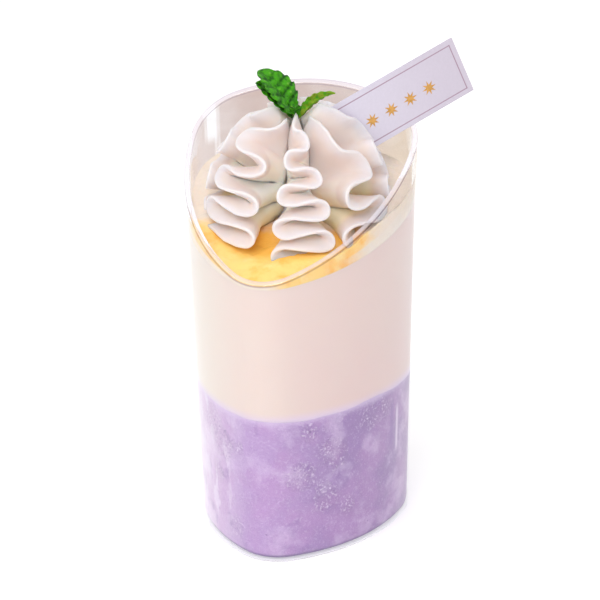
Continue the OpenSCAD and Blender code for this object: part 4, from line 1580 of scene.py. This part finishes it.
class CUP_OT_card(bpy.types.Operator):
    """Build the tag card and its foil ornaments"""

    bl_idname = "dessert.card"
    bl_label = "Tag card"

    edge_bevel = 0.09 * MM
    foil_height = 0.02 * MM
    foil_in = 2.5 * MM
    foil_down = 0.9 * MM

    def execute(self, context):
        s = sizes()
        card, looks = s["card"], s["looks"]
        shape = CupShape(s["cup"], s["filling"])
        place = card_frame(card, s["cream"], shape)
        self.sheet(card, looks, place)
        self.foil(card, looks, place)
        return {"FINISHED"}

    def sheet(self, card, looks, place):
        mesh = bmesh.new()
        bmesh.ops.create_cube(mesh, size=1)
        bmesh.ops.scale(mesh, vec=(card.length, card.width, card.thickness), verts=mesh.verts)
        bmesh.ops.bevel(
            mesh, geom=list(mesh.edges), offset=self.edge_bevel, segments=2, affect="EDGES"
        )
        uv = mesh.loops.layers.uv.new("card")
        for face in mesh.faces:
            for loop in face.loops:
                loop[uv].uv = (loop.vert.co.x / MM, loop.vert.co.y / MM)
        data = bpy.data.meshes.new("printed_card")
        mesh.to_mesh(data)
        mesh.free()
        data.transform(place)
        piece = bpy.data.objects.new("printed_card", data)
        bpy.context.scene.collection.objects.link(piece)
        finish_piece(piece, card_material(looks, card), "tag", "card", "tag_card")

    def foil(self, card, looks, place):
        material = foil_material(looks)
        tree = foil_tree(material)
        piece = grown_piece(
            "card_foil", tree,
            {"Count": card.ornament_count, "Step": card.ornament_step,
             "Radius": card.ornament, "Height": self.foil_height},
        )
        run = card.ornament_step * (card.ornament_count - 1)
        lift = card.thickness / 2
        along = -run / 2 - self.foil_in
        piece.data.transform(Matrix.Translation((along, -self.foil_down, lift)))
        piece.data.transform(place)
        outward(piece)
        finish_piece(piece, material, "tag", "card")


# Stage


def floor_material():
    """Pale floor that fades to white for the camera and keeps the shadow."""
    material, nodes, links = new_material("studio_floor")
    shader = principled(nodes, Base_Color=(0.86, 0.86, 0.86), Roughness=0.9)
    shader.inputs["Emission Color"].default_value = (1, 1, 1, 1)
    seen = maths(nodes, links, "MULTIPLY", seen_directly(nodes, links), 0.3)
    links.new(seen, shader.inputs["Emission Strength"])
    output_shader(nodes, links, shader)
    return material


def studio_world(strength):
    """Even pale surroundings: white where they are seen, softer where they light."""
    world = bpy.data.worlds.new("studio")
    world.use_nodes = True
    nodes, links = world.node_tree.nodes, world.node_tree.links
    nodes.clear()
    light = nodes.new("ShaderNodeBackground")
    light.inputs["Color"].default_value = (1, 1, 1, 1)
    light.inputs["Strength"].default_value = strength
    seen = nodes.new("ShaderNodeBackground")
    seen.inputs["Color"].default_value = (1, 1, 1, 1)
    seen.inputs["Strength"].default_value = 1
    mix = nodes.new("ShaderNodeMixShader")
    links.new(seen_directly(nodes, links), mix.inputs[0])
    links.new(light.outputs[0], mix.inputs[1])
    links.new(seen.outputs[0], mix.inputs[2])
    out = nodes.new("ShaderNodeOutputWorld")
    links.new(mix.outputs[0], out.inputs["Surface"])
    bpy.context.scene.world = world


def soft_light(name, place, target, width, height, power, tint):
    """A rectangular lamp that faces a target."""
    data = bpy.data.lights.new(name, "AREA")
    data.shape = "RECTANGLE"
    data.size = width
    data.size_y = height
    data.energy = power
    data.color = tint
    lamp = bpy.data.objects.new(name, data)
    lamp.location = place
    lamp.rotation_euler = (Vector(target) - Vector(place)).to_track_quat("-Z", "Y").to_euler()
    bpy.context.scene.collection.objects.link(lamp)


class CUP_OT_stage(bpy.types.Operator):
    """Set up the floor, the light and the camera"""

    bl_idname = "dessert.stage"
    bl_label = "Stage"

    camera_place = (0.13891, -0.45640, 0.24204)
    camera_yaw = 16.7814 * DEGREE
    camera_pitch = 21.4932 * DEGREE
    camera_roll = -0.9641 * DEGREE
    lens = 133.88
    target = (0, 0, 0.06)
    world_strength = 0.76
    lamps = (
        ("key", (-0.42, -0.5, 0.62), 0.45, 0.6, 1.5, (1, 0.99, 0.97)),
        ("front", (0.06, -0.58, 0.66), 0.4, 0.3, 2.2, (1, 0.98, 0.96)),
        ("fill", (0.6, -0.3, 0.3), 0.5, 0.5, 0.25, (1, 0.97, 0.96)),
    )

    def execute(self, context):
        bpy.ops.mesh.primitive_plane_add(size=8)
        floor = bpy.context.object
        floor.name = "studio_floor"
        floor.data.materials.append(floor_material())
        studio_world(self.world_strength)
        for name, place, width, height, power, tint in self.lamps:
            soft_light(name, place, self.target, width, height, power, tint)
        self.camera()
        bpy.context.scene.view_settings.view_transform = "Standard"
        return {"FINISHED"}

    def camera(self):
        data = bpy.data.cameras.new("camera")
        data.sensor_width = 36
        data.lens = self.lens
        data.clip_start = 0.01
        camera = bpy.data.objects.new("camera", data)
        camera.matrix_world = (
            Matrix.Translation(self.camera_place)
            @ Matrix.Rotation(self.camera_yaw, 4, "Z")
            @ Matrix.Rotation(90 * DEGREE - self.camera_pitch, 4, "X")
            @ Matrix.Rotation(self.camera_roll, 4, "Z")
        )
        bpy.context.scene.collection.objects.link(camera)
        bpy.context.scene.camera = camera


OPERATORS = (
    CUP_OT_stage,
    CUP_OT_clear_cup,
    CUP_OT_layers,
    CUP_OT_cream,
    CUP_OT_mound,
    CUP_OT_mint,
    CUP_OT_card,
)


class CUP_PT_panel(bpy.types.Panel):
    """Lists the pieces and their sizes"""

    bl_idname = "CUP_PT_panel"
    bl_label = "Dessert cup"
    bl_space_type = "VIEW_3D"
    bl_region_type = "UI"
    bl_category = "Dessert cup"

    def draw(self, context):
        for operator in OPERATORS:
            self.layout.operator(operator.bl_idname)
        for name, group in sizes().items():
            box = self.layout.box()
            box.label(text=name.capitalize())
            for key in group.__annotations__:
                box.prop(group, key)


GROUPS = {
    "dessert_cup": CupSizes,
    "dessert_filling": FillingSizes,
    "dessert_cream": CreamSizes,
    "dessert_mint": MintSizes,
    "dessert_card": CardSizes,
    "dessert_looks": Looks,
}


def register():
    for group in GROUPS.values():
        bpy.utils.register_class(group)
    for name, group in GROUPS.items():
        setattr(bpy.types.Scene, name, PointerProperty(type=group))
    for operator in OPERATORS:
        bpy.utils.register_class(operator)
    bpy.utils.register_class(CUP_PT_panel)


def unregister():
    bpy.utils.unregister_class(CUP_PT_panel)
    for operator in reversed(OPERATORS):
        bpy.utils.unregister_class(operator)
    for name in GROUPS:
        delattr(bpy.types.Scene, name)
    for group in reversed(list(GROUPS.values())):
        bpy.utils.unregister_class(group)


def main():
    register()
    for operator in OPERATORS:
        group, name = operator.bl_idname.split(".")
        getattr(getattr(bpy.ops, group), name)()


if __name__ == "__main__":
    main()
